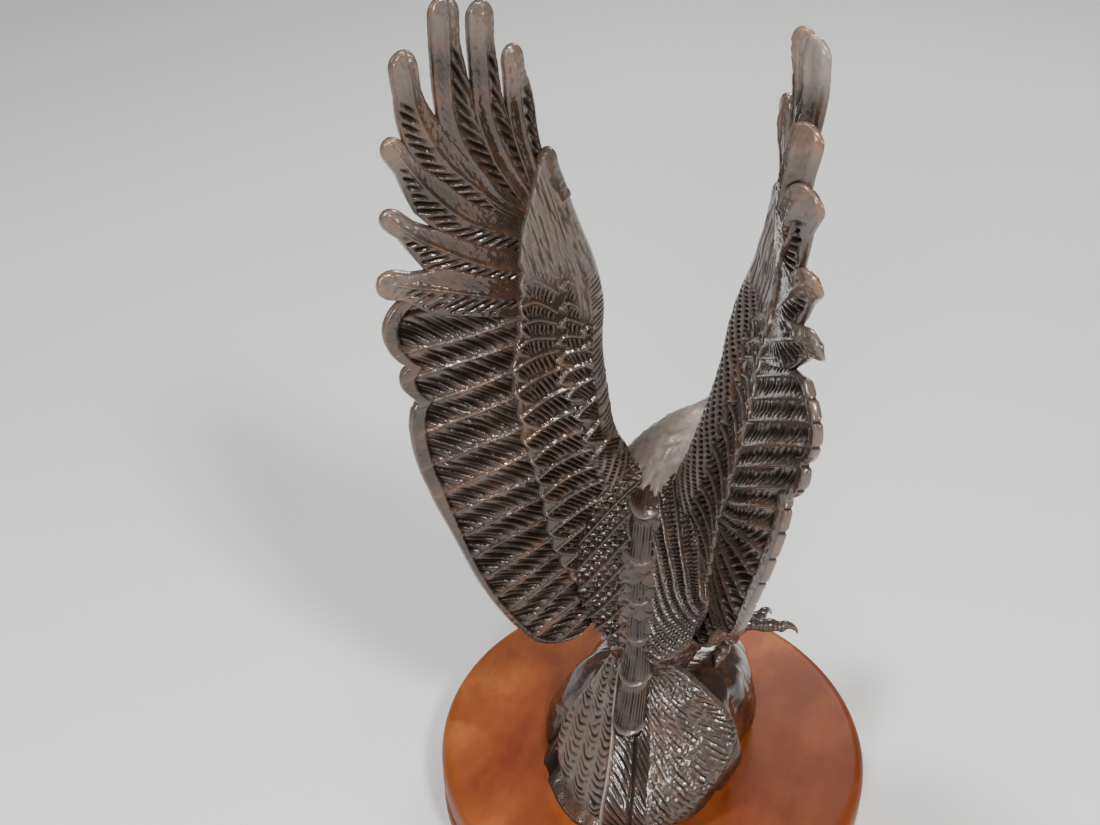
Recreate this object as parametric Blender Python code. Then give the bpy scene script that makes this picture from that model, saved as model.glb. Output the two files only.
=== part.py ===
"""A bronze eagle with raised wings on a rock, standing on a turned wooden plinth.

The eagle faces -Y and its left side is +X. Lengths below are in millimetres and become metres when a mesh is
made. The origin is the centre of the plinth's underside.

Each wing is drawn on a flat chart: `a` runs backwards along the chord, `z` is the height over the plinth's top,
and `h` is the thickness towards the feathered back of the wing. The chart is then bent into the wing's shape.
"""
from math import cos, pi, radians, sin

import bmesh
import bpy
import numpy as np

MM = 0.001
WELD = 0.000002

# Plinth
PLINTH_RADIUS = 80.0
PLINTH_HEIGHT = 25.0
PLINTH_SIDES = 40

# Wings: the chord's direction, seen from above, and the curves of one wing on its chart, as (a, z)
CHORD_YAW = radians(55)
WING_CAMBER = 3.0
ROOT_LINE = [(38, 242), (31, 224), (24, 203), (22, 182), (20, 146), (16, 114), (12, 60)]
PRIMARY_TIPS = [(50, 278), (60, 291), (71, 293), (81, 282), (87.5, 259), (89.5, 239), (91.5, 221), (92, 203),
                (88.5, 187)]
PRIMARY_NOTCHES = [(46, 262), (54, 271), (62, 266), (72.5, 266), (76, 247), (81.5, 234), (83.5, 224), (88, 211),
                   (87, 191)]
SECONDARY_EDGE = [(85, 180), (84.5, 163), (79, 141), (68, 112), (57, 89), (45, 66), (34, 59)]
SECONDARY_COUNT = 12
GREATER_COVERT_EDGE = [(45, 241), (49, 222), (51, 195), (52, 170), (48, 144), (44, 120), (38, 97), (28, 80)]
GREATER_COVERT_COUNT = 12
LESSER_COVERT_EDGE = [(42, 236), (40, 216), (38, 188), (36, 168), (32, 149), (27, 132), (21, 112)]
COVERT_ROOTS = [(38, 241), (29, 227), (22, 206), (20.5, 182), (19, 152), (14, 124), (10, 96)]
LESSER_COVERT_COUNT = 9
ARM_LINE = [(13, 116, 6.4), (20, 140, 5.6), (25.5, 165, 5.0), (27, 190, 4.7), (31, 210, 4.4), (37.5, 230, 3.8),
            (43, 246, 2.0)]
UNDERSIDE_DEPTH = 2.4
STEP_OVERLAP = 2.0

# The right wing stands a little higher than the left one, its rear edge curls in, and its lower tip is lifted
RIGHT_RISE = 5.0
RIGHT_CURL = 6.5
RIGHT_SET = 7.0
RIGHT_LIFT = 0.5
LEADING_SET = 2.5

# Body, neck and head: (x, y, z, half width, half depth) from the vent to the root of the beak
BODY_STATIONS = [
    (-1, 10, 40, 8, 9), (0, 6, 50, 14, 15), (0, 3, 66, 19, 19.5), (0, 2, 88, 22, 21), (0, 2, 108, 22, 20.5),
    (-1, 1, 122, 19, 19), (-4, -5, 130, 15.5, 15.5), (-9, -14, 133, 13.2, 13), (-14.5, -23, 134, 12, 11.8),
    (-18, -31, 133, 11.2, 11), (-21.5, -38, 131, 9.8, 9.6), (-24.2, -43.3, 128.5, 7.2, 7.0),
    (-25.7, -46.6, 126.5, 5.0, 5.4),
]
BEAK_STATIONS = [(-24.7, -44, 128, 5.0, 4.4), (-26.7, -49, 126.4, 4.6, 3.8), (-28.5, -53.4, 123.8, 3.8, 3.0),
                 (-29.7, -56.2, 119.6, 2.8, 2.1), (-29.9, -56.8, 115, 1.2, 1.0)]
HEAD_HEADING = radians(29)
LEFT_FOOT = (17, -13, 38.5)
RIGHT_FOOT = (-21, -22, 38.5)
SPINE_HALF_WIDTH = 4.8
SPINE_SEGMENTS = 6

# Tail: a fan round a pivot inside the rump
TAIL_PIVOT = (-1.0, 75.0)
TAIL_ANGLES = (radians(-36.5), radians(27.2))
TAIL_LENGTHS = [62, 68, 71.5, 72, 68]
TAIL_FEATHERS = 9
TAIL_BOW = 0.018
TAIL_BACK = 23.3

# Rock: half extents to left, right, front and back at each height
ROCK_LEVELS = [
    (0.3, 41.5, 35, 46, 52), (5, 41, 36.5, 46, 43), (12, 39, 37, 45, 32), (20, 36, 36.5, 42.5, 25),
    (28, 31.5, 34.5, 39, 19), (35, 26, 30, 33, 14), (39.5, 17, 20, 24, 8),
]
ROCK_SIDES = 26


def smooth(t):
    t = np.clip(t, 0.0, 1.0)
    return t * t * (3 - 2 * t)


def curve(points, t):
    """Points on a Catmull-Rom curve; t counts the control points, 0 at the first."""
    p = np.array(points, float)
    t = np.atleast_1d(np.asarray(t, float))
    p = np.vstack([2 * p[0] - p[1], p, 2 * p[-1] - p[-2]])
    i = np.clip(np.floor(t).astype(int), 0, len(p) - 4)
    f = (t - i)[:, None]
    a, b, c, d = p[i], p[i + 1], p[i + 2], p[i + 3]
    return 0.5 * (2 * b + (c - a) * f + (2 * a - 5 * b + 4 * c - d) * f ** 2 + (3 * b - a - 3 * c + d) * f ** 3)


def spread(points, count):
    """A number of points along the whole of a curve."""
    return curve(points, np.linspace(0, len(points) - 1, count))


def perpendicular(v):
    v = v / max(np.hypot(*v), 1e-9)
    return np.array([v[1], -v[0]])


class Solid:
    """Collects the vertices and faces of one closed mesh."""

    def __init__(self, place):
        self.place = place
        self.points = []
        self.faces = []

    def point(self, *coords):
        self.points.append(self.place(*coords))
        return len(self.points) - 1

    def mesh(self):
        bm = bmesh.new()
        verts = [bm.verts.new([c * MM for c in p]) for p in self.points]
        for face in self.faces:
            bm.faces.new([verts[i] for i in face])
        bmesh.ops.recalc_face_normals(bm, faces=bm.faces)
        bmesh.ops.triangulate(bm, faces=[f for f in bm.faces if len(f.verts) > 4])
        mesh = bpy.data.meshes.new("solid")
        bm.to_mesh(mesh)
        bm.free()
        return mesh


def wing_point(side):
    """Bends the wing's chart into place: side is 1 for the left wing and -1 for the right one."""
    def place(a, z, h):
        root = smooth((185 - z) / 45)
        depth = -10.5 + root * (4 + 4.5 * smooth((45 - a) / 30)) + 5 * smooth((z - 235) / 70)
        depth -= LEADING_SET * smooth((60 - a) / 30) * smooth((z - 150) / 40)
        depth += WING_CAMBER * sin(pi * min(max((a - 18) / 68, 0), 1)) + h
        if side < 0:
            curl = smooth((a - 35) / 45) * smooth((285 - z) / 40) * (0.5 + 0.5 * smooth((z - 185) / 45))
            depth += RIGHT_CURL * curl
            depth -= RIGHT_SET * smooth((90 - a) / 40) * smooth((z - 170) / 60)
        x = a * cos(CHORD_YAW) - depth * sin(CHORD_YAW)
        y = a * sin(CHORD_YAW) + depth * cos(CHORD_YAW)
        if side < 0:
            z += RIGHT_RISE * smooth((z - 150) / 60) + RIGHT_LIFT * a * smooth((130 - z) / 60)
        return side * x, y, PLINTH_HEIGHT + z
    return place


def comb(place, roots, notches, tips, bends, heights, rows, tip_rows):
    """A row of overlapping feathers as one closed solid.

    Feather i lies between the boundaries i and i + 1. Each boundary runs from its root to its notch, and past the
    notches the feather goes on alone to its tip. heights is (upper edge, quill, lower edge, underside, drop), where
    drop thins the sheet from its roots to its tips.
    """
    solid = Solid(place)
    upper, quill, lower, under, drop = heights
    count = len(tips)
    roots, notches, tips = np.array(roots, float), np.array(notches, float), np.array(tips, float)

    def along(start, end, bend, f):
        middle = (start + end) / 2 + bend * perpendicular(end - start) * np.hypot(*(end - start))
        return (1 - f) ** 2 * start + 2 * f * (1 - f) * middle + f * f * end

    fractions = [j / rows for j in range(rows + 1)]
    high, low, base = [], [], []
    for i in range(count + 1):
        line = [along(roots[i], notches[i], bends[min(i, count - 1)], f) for f in fractions]
        fall = [drop * f for f in fractions]
        high.append([solid.point(*p, lower - d) for p, d in zip(line, fall)] if i > 0 else None)
        low.append([solid.point(*p, upper - d) for p, d in zip(line, fall)] if i < count else None)
        base.append([solid.point(*p, -under) for p in line])
    for i in range(count):
        start = (roots[i] + roots[i + 1]) / 2
        end = (notches[i] + notches[i + 1]) / 2
        crest = [solid.point(*along(start, end, bends[i], f), quill - drop * f) for f in fractions]
        left, right = list(low[i]), list(high[i + 1])
        left_base, right_base = list(base[i]), list(base[i + 1])
        half = (notches[i] - notches[i + 1]) / 2
        across = perpendicular(tips[i] - end)
        width = abs(half @ across)
        across = across * np.sign(half @ across) * width
        if width > 0.6 * np.hypot(*half):
            across = half
        for m in range(1, tip_rows[i] + 1):
            f = m / tip_rows[i]
            bulge = max(1 - f ** 2.6, 0.12 if tip_rows[i] > 1 else 0.55) ** 0.5 - (1 - f)
            p = notches[i] + (tips[i] - notches[i]) * f + across * bulge
            q = notches[i + 1] + (tips[i] - notches[i + 1]) * f - across * bulge
            r = end + (tips[i] - end) * f
            if m == tip_rows[i]:
                r = r + (tips[i] - end) / np.hypot(*(tips[i] - end)) * width * (0.25 if tip_rows[i] > 1 else 0.08)
            left.append(solid.point(*p, upper - drop))
            right.append(solid.point(*q, lower - drop))
            crest.append(solid.point(*r, quill - drop))
            left_base.append(solid.point(*p, -under))
            right_base.append(solid.point(*q, -under))
        last = len(crest) - 1
        for j in range(last):
            solid.faces += [(left[j], left[j + 1], crest[j + 1], crest[j]),
                            (crest[j], crest[j + 1], right[j + 1], right[j]),
                            (left_base[j], left_base[j + 1], right_base[j + 1], right_base[j])]
            if j >= rows or i == 0:
                solid.faces.append((left[j], left[j + 1], left_base[j + 1], left_base[j]))
            elif lower != upper:
                solid.faces.append((left[j], left[j + 1], high[i][j + 1], high[i][j]))
            if j == rows and i < count - 1:
                solid.faces.append((right[j], right[j + 1], right_base[j + 1], right_base[j], low[i + 1][j]))
            elif j > rows or i == count - 1:
                solid.faces.append((right[j], right[j + 1], right_base[j + 1], right_base[j]))
        solid.faces.append((left[last], crest[last], right[last], right_base[last], left_base[last]))
        start_cap = [left[0], crest[0], right[0], right_base[0], left_base[0]]
        if i < count - 1:
            start_cap.insert(3, low[i + 1][0])
        solid.faces.append(tuple(start_cap))
    return solid.mesh()


def flight_feathers(side):
    """The primaries, whose tips stand apart like fingers, and the secondaries below them."""
    place = wing_point(side)
    count = len(PRIMARY_TIPS)
    steps = len(ROOT_LINE) // 2
    roots = curve(ROOT_LINE, np.linspace(0, steps, count + 1))
    edge = spread(SECONDARY_EDGE, SECONDARY_COUNT + 1)
    bends = np.linspace(0.16, 0.02, count)
    primaries = comb(place, roots, PRIMARY_NOTCHES + [tuple(edge[0])], PRIMARY_TIPS, bends,
                     (0.3, 1.5, 1.1, UNDERSIDE_DEPTH, 0.2), 3, [3] * count)

    roots = curve(ROOT_LINE, np.linspace(steps, len(ROOT_LINE) - 1, SECONDARY_COUNT + 1))
    roots[0, 1] += STEP_OVERLAP
    edge[0, 1] += STEP_OVERLAP
    outward = (edge[:-1] + edge[1:] - roots[:-1] - roots[1:]) / 2
    tips = (edge[:-1] + edge[1:]) / 2 + 0.9 * outward / np.hypot(outward[:, 0], outward[:, 1])[:, None]
    secondaries = comb(place, roots, edge, tips, np.zeros(SECONDARY_COUNT),
                       (0.2, 1.4, 1.0, UNDERSIDE_DEPTH - 0.1, 0.2), 2, [1] * SECONDARY_COUNT)
    return [primaries, secondaries]


def coverts(side, edge_points, count, heights, length, rounding, inset):
    """A shorter row of round-ended feathers that lies on the flight feathers."""
    roots = spread(COVERT_ROOTS, count + 1) + (inset, 0)
    ends = spread(edge_points, count + 1)
    step = (ends[:-1] + ends[1:]) / 2 - (roots[:-1] + roots[1:]) / 2
    tips = (ends[:-1] + ends[1:]) / 2 + length * step / np.hypot(step[:, 0], step[:, 1])[:, None]
    return comb(wing_point(side), roots, ends, tips, np.zeros(count), heights, 1, [rounding] * count)


def loft(stations, sides, side=(1, 0, 0)):
    """A closed tube through (x, y, z, half width, half depth), its widths along the side direction."""
    s = np.array(stations, float)
    path = s[:, :3]
    tangent = np.gradient(path, axis=0)
    tangent /= np.linalg.norm(tangent, axis=1)[:, None]
    deep = np.cross(tangent, np.array(side, float))
    deep /= np.linalg.norm(deep, axis=1)[:, None]
    wide = np.cross(deep, tangent)
    solid = Solid(lambda x, y, z: (x, y, z + PLINTH_HEIGHT))
    rings = []
    for centre, w, d, (half_wide, half_deep) in zip(path, wide, deep, s[:, 3:5]):
        ring = []
        for k in range(sides):
            angle = 2 * pi * (k + 0.5) / sides
            ring.append(solid.point(*(centre + w * half_wide * cos(angle) + d * half_deep * sin(angle))))
        rings.append(ring)
    for below, above in zip(rings[:-1], rings[1:]):
        for k in range(sides):
            n = (k + 1) % sides
            solid.faces.append((below[k], below[n], above[n], above[k]))
    for ring, index in ((rings[0], 0), (rings[-1], -1)):
        middle = solid.point(*path[index])
        solid.faces += [(ring[k], ring[(k + 1) % sides], middle) for k in range(sides)]
    return solid.mesh()


def arm(side):
    """The thick leading edge, from the shoulder to the wrist."""
    place = wing_point(side)
    stations = []
    for a, z, radius in spread(ARM_LINE, 9):
        x, y, height = place(a, z, 0.6)
        stations.append((x, y, height - PLINTH_HEIGHT, radius, radius * 0.8))
    return loft(stations, 8, (side * cos(CHORD_YAW), sin(CHORD_YAW), 0))


def scapulars(side):
    """The soft mass that carries the back over into the wing."""
    stations = [(side * 10, 11, 140, 4, 3), (side * 13, 13, 128, 8, 6), (side * 16, 14, 106, 9, 6.5),
                (side * 16, 14, 84, 8.5, 6), (side * 13, 13, 66, 6, 4.5), (side * 11, 12, 56, 3, 2.5)]
    return loft(stations, 8, (cos(0.5), side * sin(0.5), 0))


def alula(side):
    """The small thumb feather that stands off the wrist."""
    return comb(wing_point(side), [(36, 228), (41, 226)], [(37.5, 240), (43.5, 238)], [(38.5, 247)], [0],
                (0.8, 2.6, 0.8, 1.6, 0.2), 1, [2])


def tail_point(angle, r, h):
    """Places a point of the fan, given its angle and its distance from the pivot."""
    x = TAIL_PIVOT[0] + r * sin(angle)
    z = TAIL_PIVOT[1] - r * cos(angle)
    y = TAIL_BACK - 7 * smooth((42 - r) / 18) + 22 * smooth((r - 38) / 36) - TAIL_BOW * (x + 3) ** 2 + h
    return x, y, PLINTH_HEIGHT + z


def tail_fan():
    angles = np.linspace(*TAIL_ANGLES, TAIL_FEATHERS + 1)
    lengths = spread([(v, 0) for v in TAIL_LENGTHS], TAIL_FEATHERS + 1)[:, 0]
    roots = [(a * 0.8, 26) for a in angles]
    notches = list(zip(angles, lengths - 3))
    tips = [((a + b) / 2, (p + q) / 2) for a, b, p, q in zip(angles, angles[1:], lengths, lengths[1:])]
    return comb(tail_point, roots, notches, tips, np.zeros(TAIL_FEATHERS), (0.4, 1.5, 1.2, 4.5, 0), 3,
                [1] * TAIL_FEATHERS)


def central_tail_feather():
    half = radians(5.4)
    lean = radians(-2)
    return comb(tail_point, [(lean - 0.13, 32), (lean + 0.13, 32)], [(lean - half, 67), (lean + half, 67)],
                [(lean, 74)], [0], (1.8, 3.4, 1.8, 2.0, 0), 4, [2])


def spine():
    """The raised column of overlapping plates down the middle of the back."""
    tops = np.linspace(143, 26, SPINE_SEGMENTS * 2 + 1)
    stations = []
    for k, z in enumerate(tops):
        back = 21.0 - 22 * smooth((z - 116) / 34)
        step = 0.9 if k % 2 else 0.0
        height = z - 1.2 if k % 2 == 0 and k else z
        swell = 1.0 if k else 0.5
        stations.append((0, back, height, swell * SPINE_HALF_WIDTH + step * 0.5, swell * 3.0 + step))
    return loft(stations, 8)


def brow(side):
    """A ridge over the eye, and the eye under it."""
    head = np.array(BODY_STATIONS[9][:3], float)
    forward = np.array([-sin(HEAD_HEADING), -cos(HEAD_HEADING), -0.25])
    left = np.array([cos(HEAD_HEADING), -sin(HEAD_HEADING), 0])
    up = np.array([0, 0, 1.0])
    parts = []
    for ahead, out, height, radii in ((6, 7.4, 5.4, (1.3, 2.4, 1.2)), (7.5, 7.8, 2.2, (0.9, 1.8, 0.9))):
        middle = head + forward * ahead + side * left * out + up * height
        length = 9.0 if radii[1] > 2 else 2.6
        stations = []
        for f, radius in zip((-0.5, 0.0, 0.5), radii):
            stations.append(tuple(middle + forward * length * f - side * left * 1.2 * f) + (radius, radius * 0.8))
        parts.append(loft(stations, 6, left))
    return parts


def leg(side, foot):
    """A feathered thigh, the shank below it, four toes and their claws."""
    x, y, z = foot
    thigh = [(side * 10, -2, 78, 7, 8), (side * 13, -5, 70, 10, 11.5), (side * 14.5, -9, 60, 9.2, 11),
             ((side * 15 + x) / 2, (y - 9) / 2, 52, 6.2, 7), (x, y + 2, 46.5, 4.0, 4.4), (x, y + 1, 42, 3.6, 4)]
    parts = [loft(thigh, 10)]
    toe = ((0, 3.2, 2.6), (5.5, 4.2, 2.9), (9, 2.9, 2.2), (12.5, 3.2, 2.5), (15.5, 2.0, 2.0))
    claw = ((13.5, 2.6, 1.7), (17.8, 2.2, 1.4), (20.4, -1.6, 0.5))
    for turn, reach in ((-62, 1.0), (-22, 1.15), (18, 1.0), (178, 0.75)):
        heading = radians(turn * side)
        step = np.array([-sin(heading), -cos(heading), 0])
        across = (cos(heading), -sin(heading), 0)
        for profile, sides in ((toe, 5), (claw, 4)):
            stations = []
            for along, up, radius in profile:
                centre = np.array([x, y, z + up]) + step * along * reach
                stations.append(tuple(centre) + (radius, radius * 0.9))
            parts.append(loft(stations, sides, across))
    return parts


def rock():
    """A rock with soft upright folds, its back sloping away under the tail."""
    solid = Solid(lambda x, y, z: (x, y, z + PLINTH_HEIGHT))
    rings = []
    for z, left, right, front, back in ROCK_LEVELS:
        ring = []
        for k in range(ROCK_SIDES):
            angle = 2 * pi * k / ROCK_SIDES
            c, s = cos(angle), sin(angle)
            wide = left if c > 0 else right
            long = back if s > 0 else front
            power = 2.6 if s < 0 else 2.1
            reach = (abs(c / wide) ** power + abs(s / long) ** power) ** (-1 / power)
            fold = 1.3 * sin(5 * angle + 0.85) + 0.8 * sin(9 * angle + z * 0.05)
            lump = 3.5 * np.exp(-((angle - radians(168)) / 0.22) ** 2 - ((z - 14) / 9) ** 2)
            reach += (fold + lump) * smooth((44 - z) / 20)
            ring.append(solid.point(reach * c, reach * s, z))
        rings.append(ring)
    for below, above in zip(rings[:-1], rings[1:]):
        for k in range(ROCK_SIDES):
            n = (k + 1) % ROCK_SIDES
            solid.faces.append((below[k], below[n], above[n], above[k]))
    solid.faces.append(tuple(rings[0]))
    middle = solid.point(-1, -5, 41)
    solid.faces += [(rings[-1][k], rings[-1][(k + 1) % ROCK_SIDES], middle) for k in range(ROCK_SIDES)]
    return solid.mesh()


def plinth():
    """A turned disc with a round upper edge, a groove, and a lower ring."""
    profile = [(PLINTH_RADIUS - 2.0, 0), (PLINTH_RADIUS - 0.3, 2.5), (PLINTH_RADIUS - 1.2, 7.2),
               (PLINTH_RADIUS - 4, 8), (PLINTH_RADIUS - 4, 9.4), (PLINTH_RADIUS, 12.5), (PLINTH_RADIUS, 21),
               (PLINTH_RADIUS - 1.4, 24), (PLINTH_RADIUS - 4.5, PLINTH_HEIGHT)]
    solid = Solid(lambda x, y, z: (x, y, z))
    rings = []
    for radius, z in profile:
        rings.append([solid.point(radius * cos(2 * pi * k / PLINTH_SIDES), radius * sin(2 * pi * k / PLINTH_SIDES), z)
                      for k in range(PLINTH_SIDES)])
    for below, above in zip(rings[:-1], rings[1:]):
        for k in range(PLINTH_SIDES):
            n = (k + 1) % PLINTH_SIDES
            solid.faces.append((below[k], below[n], above[n], above[k]))
    solid.faces += [tuple(rings[0]), tuple(rings[-1])]
    return solid.mesh()


def material(name, colour, roughness, metallic):
    mat = bpy.data.materials.new(name)
    mat.use_nodes = True
    shader = mat.node_tree.nodes["Principled BSDF"]
    shader.inputs["Base Color"].default_value = (*colour, 1.0)
    shader.inputs["Roughness"].default_value = roughness
    shader.inputs["Metallic"].default_value = metallic
    return mat


def add_object(name, mesh, mat):
    mesh.name = name
    mesh.materials.clear()
    mesh.materials.append(mat)
    obj = bpy.data.objects.new(name, mesh)
    bpy.context.collection.objects.link(obj)
    return obj


def cast(name, meshes, mat):
    """Joins overlapping solids into one body."""
    body = add_object(name, meshes[0], mat)
    collection = bpy.data.collections.new(name + "_parts")
    for k, mesh in enumerate(meshes[1:]):
        part = bpy.data.objects.new("part_%02d" % k, mesh)
        collection.objects.link(part)
    bpy.context.scene.collection.children.link(collection)
    union = body.modifiers.new("union", "BOOLEAN")
    union.operation = "UNION"
    union.operand_type = "COLLECTION"
    union.collection = collection
    union.solver = "EXACT"
    graph = bpy.context.evaluated_depsgraph_get()
    joined = bpy.data.meshes.new_from_object(body.evaluated_get(graph))
    body.modifiers.clear()
    body.data = joined
    for part in list(collection.objects):
        bpy.data.objects.remove(part, do_unlink=True)
    bpy.data.collections.remove(collection)
    bm = bmesh.new()
    bm.from_mesh(joined)
    bmesh.ops.remove_doubles(bm, verts=bm.verts, dist=WELD)
    bmesh.ops.dissolve_degenerate(bm, edges=bm.edges, dist=WELD)
    bmesh.ops.triangulate(bm, faces=bm.faces)
    bm.to_mesh(joined)
    bm.free()
    joined.shade_smooth()
    joined.set_sharp_from_angle(angle=radians(35))
    return body


def casting_solids():
    """Every overlapping solid of the casting."""
    beak = loft(BEAK_STATIONS, 8, (-sin(HEAD_HEADING) * 0.4, -cos(HEAD_HEADING) * 0.4, 1))
    meshes = [rock(), loft(BODY_STATIONS, 14), beak, spine(), tail_fan(), central_tail_feather()]
    for side in (1, -1):
        meshes += flight_feathers(side) + [arm(side), alula(side), scapulars(side)]
        meshes.append(coverts(side, GREATER_COVERT_EDGE, GREATER_COVERT_COUNT, (1.6, 2.5, 2.1, 1.0, 0.3), 2.0, 2,
                              1.3))
        meshes.append(coverts(side, LESSER_COVERT_EDGE, LESSER_COVERT_COUNT, (3.0, 3.7, 3.3, 0.4, 0.3), 1.8, 1,
                              0.0))
        meshes += brow(side)
    meshes += leg(1, LEFT_FOOT) + leg(-1, RIGHT_FOOT)
    return meshes


def main():
    for obj in list(bpy.data.objects):
        bpy.data.objects.remove(obj, do_unlink=True)
    bronze = material("bronze", (0.10, 0.075, 0.06), 0.38, 1.0)
    wood = material("wood", (0.42, 0.14, 0.045), 0.32, 0.0)
    cast("bronze_eagle", casting_solids(), bronze)
    turned = add_object("wood_plinth", plinth(), wood)
    turned.data.shade_smooth()
    turned.data.set_sharp_from_angle(angle=radians(35))


main()
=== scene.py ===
"""Looks for the bronze eagle statue: carved relief, patina, turned wood, floor, light and camera.

Lengths are in millimetres until a mesh is made. Each wing is drawn on a flat chart: `a` runs backwards
along the chord, `z` is the height over the plinth's top and `h` the height of the relief. Points along a
line are read by `s`, the distance from its start, and `d`, the distance to its left. Every point of a mesh
carries how deep it is cut, how much it is rubbed and how pale it is, for the patina. The cut is dark patina
in the hollows and in places a painted shade under overlapping edges; the paleness is worn patina and in
places a painted sheen and highlights.
"""

from math import cos, pi, radians, sin

import bmesh
import bpy
import numpy as np
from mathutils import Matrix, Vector


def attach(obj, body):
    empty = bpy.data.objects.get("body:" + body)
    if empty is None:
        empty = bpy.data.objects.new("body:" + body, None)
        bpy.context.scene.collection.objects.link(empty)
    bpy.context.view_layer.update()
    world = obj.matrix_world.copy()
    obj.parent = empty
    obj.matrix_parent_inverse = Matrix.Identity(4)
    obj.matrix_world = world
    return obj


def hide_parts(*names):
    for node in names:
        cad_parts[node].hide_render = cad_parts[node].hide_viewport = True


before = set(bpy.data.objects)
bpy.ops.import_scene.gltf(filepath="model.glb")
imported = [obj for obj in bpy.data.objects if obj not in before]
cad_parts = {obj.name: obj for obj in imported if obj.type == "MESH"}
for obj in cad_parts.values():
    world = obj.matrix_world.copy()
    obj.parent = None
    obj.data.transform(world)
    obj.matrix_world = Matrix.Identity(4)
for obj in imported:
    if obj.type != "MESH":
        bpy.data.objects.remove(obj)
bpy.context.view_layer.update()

MM = 0.001
PLINTH_RADIUS = 80.0
PLINTH_HEIGHT = 25.0
FINE = 0.395  # spacing of the points on a primary
STEP = 0.405  # spacing of the rows on the joined feathers
# Points of each grid: rows, columns
SECONDARY_COLUMNS = 105
COVERT_COLUMNS = (18, 77)
BACK_GRID = (262, 82)
BODY_GRID = (196, 116)
SPINE_GRID = (330, 60)
FAN_GRID = (222, 166)
ROCK_GRID = (92, 220)
PLINTH_GRID = (84, 160)

CHORD_YAW = radians(55)
WING_CAMBER = 3.0
LEADING_SET = 2.5
RIGHT_RISE = 5.0
RIGHT_CURL = 6.5
RIGHT_SET = 7.0
RIGHT_LIFT = 0.5

# Primaries from the leading one back: quill from root to tip, widths towards the leading and the trailing
# side at the root, the middle, the notch and near the tip, and the side that is cut with barbs
PRIMARIES = [
    ([(40, 226), (44.5, 243), (48, 254), (50.6, 265), (52.2, 272), (53.6, 280.4)],
     (2.5, 3.6, 4.6, 3.4), (2.4, 3.4, 3.8, 2.8), -1),
    ([(38, 222), (46, 235), (52.4, 246), (56.2, 254), (59.8, 265), (61.6, 280), (62.4, 293.6)],
     (2.8, 5.0, 4.2, 3.3), (2.6, 3.8, 3.4, 3.5), -1),
    ([(37, 219), (46, 229), (55, 236.6), (60.6, 244.6), (67, 255.6), (70.6, 268), (71.4, 282),
      (71.8, 296)],
     (3.2, 5.6, 6.4, 3.6), (2.6, 3.8, 3.4, 3.8), -1),
    ([(36, 216), (48, 228), (57, 235.6), (64.4, 243), (70.8, 250), (76.4, 259), (80.2, 269),
      (82.4, 283.6)],
     (3.0, 4.4, 4.8, 2.9), (3.4, 5.8, 6.0, 3.8), 1),
    ([(34, 212), (49, 223), (64, 231), (71, 237), (77.4, 244.6), (83, 253), (87.2, 260)],
     (3.6, 5.2, 4.8, 2.9), (4.2, 6.2, 6.4, 3.2), 1),
    ([(33, 206), (50, 213), (60, 217), (70, 223), (81, 231), (89.2, 239)],
     (4.2, 5.0, 4.8, 2.9), (3.4, 6.6, 7.0, 3.0), 1),
    ([(32, 200), (50, 203.8), (66, 209.7), (82, 215.8), (92, 219.4)],
     (3.4, 5.4, 6.4, 3.3), (3.6, 6.4, 7.6, 5.0), 1),
]
# The rearward outline of the joined feathers, from the wing's foot up
TRAILING = [
    (30, 65.6), (35, 64.6), (41.8, 66), (48.6, 70.9), (54.3, 79.3), (58.9, 87), (63.3, 95.4),
    (68.1, 106.4), (72.7, 119.4), (76.7, 130.9), (80.1, 140.2), (82.2, 147.4), (83.9, 153.4), (85, 159.8),
    (85.5, 166), (85.2, 171), (84.2, 175), (82.9, 177.4), (84.6, 179.6), (86.4, 182.4), (87, 185.4),
    (86.2, 188), (84.6, 189.8), (87, 191.8), (89.6, 196), (91, 201), (90.4, 205.6), (87.4, 209.8),
    (82, 213),
]
INNER = [
    (22, 72), (25, 82), (28, 92), (32, 104), (36, 118), (41, 134), (44, 150), (45.6, 168), (46, 185),
    (45.4, 203.4),
]
# The lower edges of the secondaries, from the wing's middle to its foot
LEFT_RIDGES = [
    [(30, 199), (50.2, 202), (67.8, 205.1), (83.5, 209.3), (92.6, 212)],
    [(30, 197.5), (50.3, 197), (68.2, 195.8), (83, 195.4), (92, 194)],
    [(30, 190), (50.4, 189.1), (68.5, 188), (82.3, 186.4), (91, 184)],
    [(30, 182), (52.3, 179.8), (65.6, 178.4), (79.5, 176.8), (90, 174)],
    [(30, 173.5), (53, 171.1), (65.9, 169.6), (80.5, 167.5), (89, 165)],
    [(30, 163.5), (52.6, 160), (66.3, 158.7), (79.5, 156.2), (88, 154)],
    [(28, 154.5), (51, 150.5), (66, 148), (77.5, 145.4), (86, 143)],
    [(27, 146), (50, 141), (64, 139), (74.8, 136.8), (83, 134)],
    [(26, 137.5), (48, 132), (62, 129.4), (71.5, 127), (80, 124)],
    [(24, 129), (45, 123), (60, 120), (68.5, 117.2), (77, 114)],
    [(22, 121), (43, 113.5), (57, 110), (64.8, 107.4), (72, 104)],
    [(20, 114.5), (42, 105), (53, 100.8), (60.3, 98), (68, 94)],
    [(18, 108.5), (39, 97), (49, 92.8), (55.8, 89.8), (63, 86)],
    [(16, 103), (37, 90), (45, 84.6), (50.6, 81), (58, 76)],
    [(14, 98), (32, 82), (40, 77.4), (45.6, 74), (52, 70)],
    [(12, 92), (27, 76), (34, 70.4), (39, 66.6), (44, 63)],
    [(10, 84), (21, 70), (27, 64.4), (31, 60.8), (35, 58)],
]
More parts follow.
